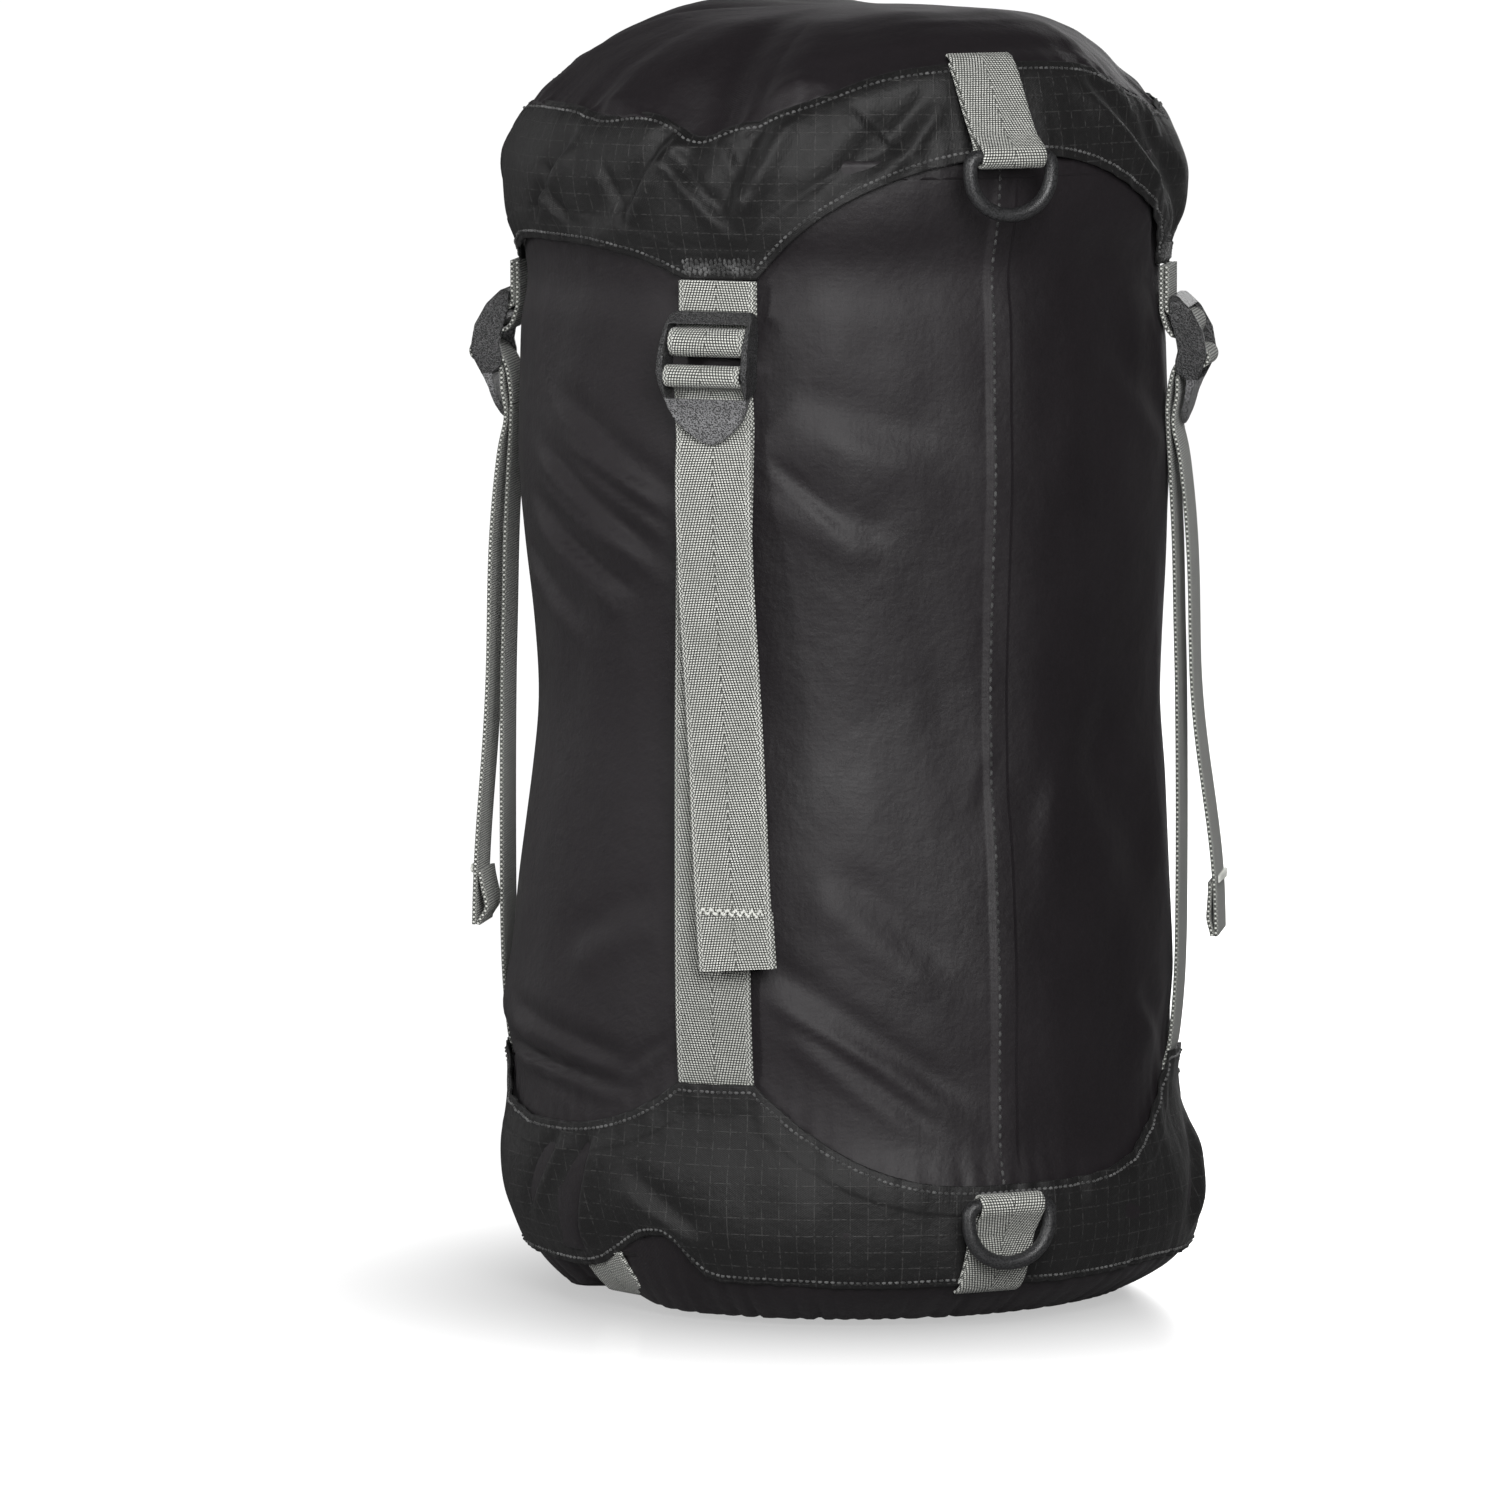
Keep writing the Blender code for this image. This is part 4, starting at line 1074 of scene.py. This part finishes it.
def make_tail(side, angle):
    """The free end: it hangs a little to one side, is folded over at the bottom and sewn across."""
    lean, spread, clear = TAIL_SWAY[side]
    route = []
    for r, z in smooth(TAIL_PATH, 10):
        down = max(0.0, (TAIL_TOP - z) / (TAIL_TOP - TAIL_LOW))
        out = 0.0006 * sin(9 * down) + clear * smoothstep((down - 0.45) / 0.5)
        route.append((r + out, lean * down ** 1.1, z))
    tail = strip(f"strap_tail_web_{side}", route, angle)
    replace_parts(tail, f"strap_tail_{side}")
    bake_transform(tail)
    turned = Matrix.Rotation(radians(angle), 4, "Z")
    flap_route = []
    for r, x, z in route:
        if z < TAIL_LOW + TAIL_FOLD:
            share = (z - TAIL_LOW) / TAIL_FOLD
            gap = WEB * 1.02 + spread * smoothstep(1 - share) * smoothstep(share * 3)
            flap_route.append((r - gap, x, z))
    flap = strip(f"strap_tail_fold_{side}", flap_route[::-1], angle, "lid")
    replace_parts(flap, f"strap_tail_{side}")
    zigzag = []
    for k in range(TAIL_STROKES * 8 + 1):
        across = (k / (TAIL_STROKES * 8) - 0.5) * (WEB_WIDTH - 0.004)
        height = TAIL_LOW + TAIL_FOLD - TAIL_SEWN + TAIL_ZIGZAG * abs((k / 8 + 1) % 2 - 1)
        r, x = (np.interp(height, *zip(*sorted((p[2], p[n]) for p in route))) for n in (0, 1))
        zigzag.append((x + across, -(r + WEB / 2 + 0.0008), height))
    zigzag = np.array(zigzag)
    rows = [(zigzag, np.tile((0.0, -1.0, 0.0), (len(zigzag), 1)))]
    sewn = sew(f"tail_bartack_{side}", rows, "lid", GREY_THREAD, pitch=0.0014, length=0.0015, width=0.00052)
    sewn.data.transform(turned)


D_CORNER = 0.0035


def make_ring(node):
    joint = JOINTS[node.replace("_d_ring", "_ring_swing")]
    x, y, z = joint["pos_m"]
    bend, reach = D_CORNER, RING_HALF - D_CORNER
    bow = [(RING_HALF * cos(t), -bend - (RING_DEPTH - bend) * sin(t) ** 0.8) for t in np.linspace(0, pi, 25)]
    turn = [(reach + bend * sin(t), bend * cos(t) - bend) for t in np.linspace(0, pi / 2, 6)]
    path = [(-reach, 0), (0, 0)] + turn[:-1] + bow + [(-px, pz) for px, pz in turn[::-1][1:-1]]
    across = Vector((cos(radians(RING_ANGLE)), sin(radians(RING_ANGLE)), 0))
    points = [Vector((x, y, z)) + across * px + Vector((0, 0, pz)) for px, pz in path]
    rod = tube(node + "_moulding", points, RING_WIRE / 2, 20, closed=True)
    ring = dress(rod, RING_PLASTIC)
    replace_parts(ring, node)
    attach(ring, node.replace("_d_ring", "_ring"))


def arc(centre, radius, start, stop, count):
    turns = np.radians(np.linspace(start, stop, count))
    return [(centre[0] + radius * cos(t), centre[1] + radius * sin(t)) for t in turns]


def make_tab(node, body, outer, inner, bar_z, side):
    """Webbing from a seam, round the ring's bar and back.

    side is 1 where the outer ply lies left of its way, and -1 where it lies right.
    """
    bar = (BAR_OUT, bar_z)
    heading = np.degrees(np.arctan2(bar_z - outer[-1][1], BAR_OUT - outer[-1][0]))
    wrap = arc(bar, RING_WIRE / 2 + RING_GAP + WEB / 2, heading + side * 118, heading - side * 118, 15)
    path = list(smooth(outer, 6)) + wrap + list(smooth(inner, 6))
    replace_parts(strip(f"{node}_web", path, RING_ANGLE, body, TAB_WIDTH), node)


def make_rings():
    make_ring("upper_d_ring")
    make_ring("lower_d_ring")
    upper_bar = JOINTS["upper_ring_swing"]["pos_m"][2]
    lower_bar = JOINTS["lower_ring_swing"]["pos_m"][2]
    make_tab(
        "upper_ring_tab", "lid",
        [(0.1078, 0.4372), (0.1112, 0.4356), (0.1160, 0.4303), (0.1225, 0.4205), (0.1297, 0.4108)],
        [(0.1278, 0.4098), (0.1208, 0.4188), (0.1146, 0.4282), (0.1096, 0.4345)], upper_bar, 1,
    )
    make_tab(
        "lower_ring_tab", "root",
        [(0.1150, 0.0140), (0.1178, 0.0152), (0.1206, 0.0178), (0.1247, 0.0240), (0.1292, 0.0355)],
        [(0.1273, 0.0362), (0.1232, 0.0255), (0.1200, 0.0200), (0.1180, 0.0175)], lower_bar, -1,
    )


HANDLE_ANGLE = 10


def handle_end(angle):
    """The handle's way out from under the flat patch to the bottom seam, as (radius, height)."""
    shares = np.linspace(0.60, 0.975, 16)
    here, normal = surface_frames(bottom_surface, np.full(len(shares), angle), shares)
    down = normal * np.where(normal[:, 2:] > 0, -1, 1)
    out = here + down * (WEB / 2 + 0.0007)
    return np.stack([np.hypot(out[:, 0], out[:, 1]), np.maximum(out[:, 2], WEB / 2)], -1)


def make_handle():
    left, right = handle_end(HANDLE_ANGLE - 90), handle_end(HANDLE_ANGLE + 90)
    middle = [(x, WEB / 2) for x in (-0.04, 0.0, 0.04)]
    path = smooth([(-r, z) for r, z in left[::-1]] + middle + [tuple(p) for p in right], 2)
    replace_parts(strip("base_handle_web", path, 90 + HANDLE_ANGLE, "root", TAB_WIDTH), "base_handle")


# ---- camera, floor and light ----
def make_camera():
    lens = bpy.data.cameras.new("camera")
    lens.lens, lens.sensor_width = 276, 36
    lens.shift_x, lens.shift_y = -0.0633, -0.0673
    camera = link("camera", lens)
    camera.location = (-2.0, -3.464, 0.62)
    camera.rotation_euler = (radians(84.36), 0, radians(-30))
    bpy.context.scene.camera = camera


AIM = Vector((0, 0, 0.22))
LIGHTS = [  # name, place, size, power
    ("key", (-1.05, -2.65, 1.30), (1.2, 1.5), 74),
    ("left", (-2.9, -0.4, 1.0), (0.4, 0.9), 24),
    ("right", (2.3, 0.2, 0.9), (0.6, 1.4), 0.6),
    ("behind_right", (1.9, 2.0, 0.75), (1.2, 1.2), 11),
    ("behind_left", (-1.6, 2.3, 0.95), (1.2, 1.2), 8),
]


def soft_light(name, place, size, power):
    data = bpy.data.lights.new(name, "AREA")
    data.shape, data.size, data.size_y, data.energy = "RECTANGLE", *size, power
    lamp = link(name, data)
    lamp.location = place
    lamp.rotation_euler = (AIM - Vector(place)).to_track_quat("-Z", "Y").to_euler()


AMBIENT, BACKDROP = 0.045, 1.0


def make_world():
    """A dim even studio that the camera sees as a white backdrop."""
    world = bpy.data.worlds.new("studio")
    bpy.context.scene.world = world
    world.use_nodes = True
    tree = world.node_tree
    path = tree.nodes.new("ShaderNodeLightPath")
    seen = tree.nodes.new("ShaderNodeMapRange")
    seen.inputs["To Min"].default_value = AMBIENT
    seen.inputs["To Max"].default_value = BACKDROP
    tree.links.new(path.outputs["Is Camera Ray"], seen.inputs["Value"])
    background = tree.nodes["Background"]
    background.inputs["Color"].default_value = (1, 1, 1, 1)
    tree.links.new(seen.outputs["Result"], background.inputs["Strength"])


def make_studio():
    mesh = bpy.data.meshes.new("floor")
    mesh.from_pydata([(-12, -12, 0), (12, -12, 0), (12, 12, 0), (-12, 12, 0)], [], [(0, 1, 2, 3)])
    floor = link("floor", mesh)
    s = Shader("pale_floor")
    tone = s.noise(3, 2.0)
    x, y, _ = s.parts(s.object)
    seen = s.tree.nodes.new("ShaderNodeLightPath").outputs["Is Camera Ray"]
    # The floor glows white for the camera only. Painted shadow: the glow is 0.48 within 0.10 m of the sack's
    # middle and rises to full by 0.20 m, standing in for the sack's shadow on the floor.
    away = s.maths("SQRT", s.maths("ADD", s.times(x, x), s.times(y, y)))
    mesh.materials.append(s.finish(
        Base_Color=s.mix(tone, (0.29, 0.29, 0.292), (0.31, 0.31, 0.312)), Roughness=0.2,
        Specular_IOR_Level=0.4, Emission_Color=(1, 1, 1, 1),
        Emission_Strength=s.times(seen, s.ramp(away, 0.10, 0.20, 0.48)),
    ))
    make_world()
    for light in LIGHTS:
        soft_light(*light)
    bpy.context.scene.view_settings.view_transform = "Standard"


make_camera()
make_shells()
make_stitching()
make_mouth()
for side, angle in STRAPS.items():
    make_strap(side, angle)
make_rings()
make_handle()
make_studio()
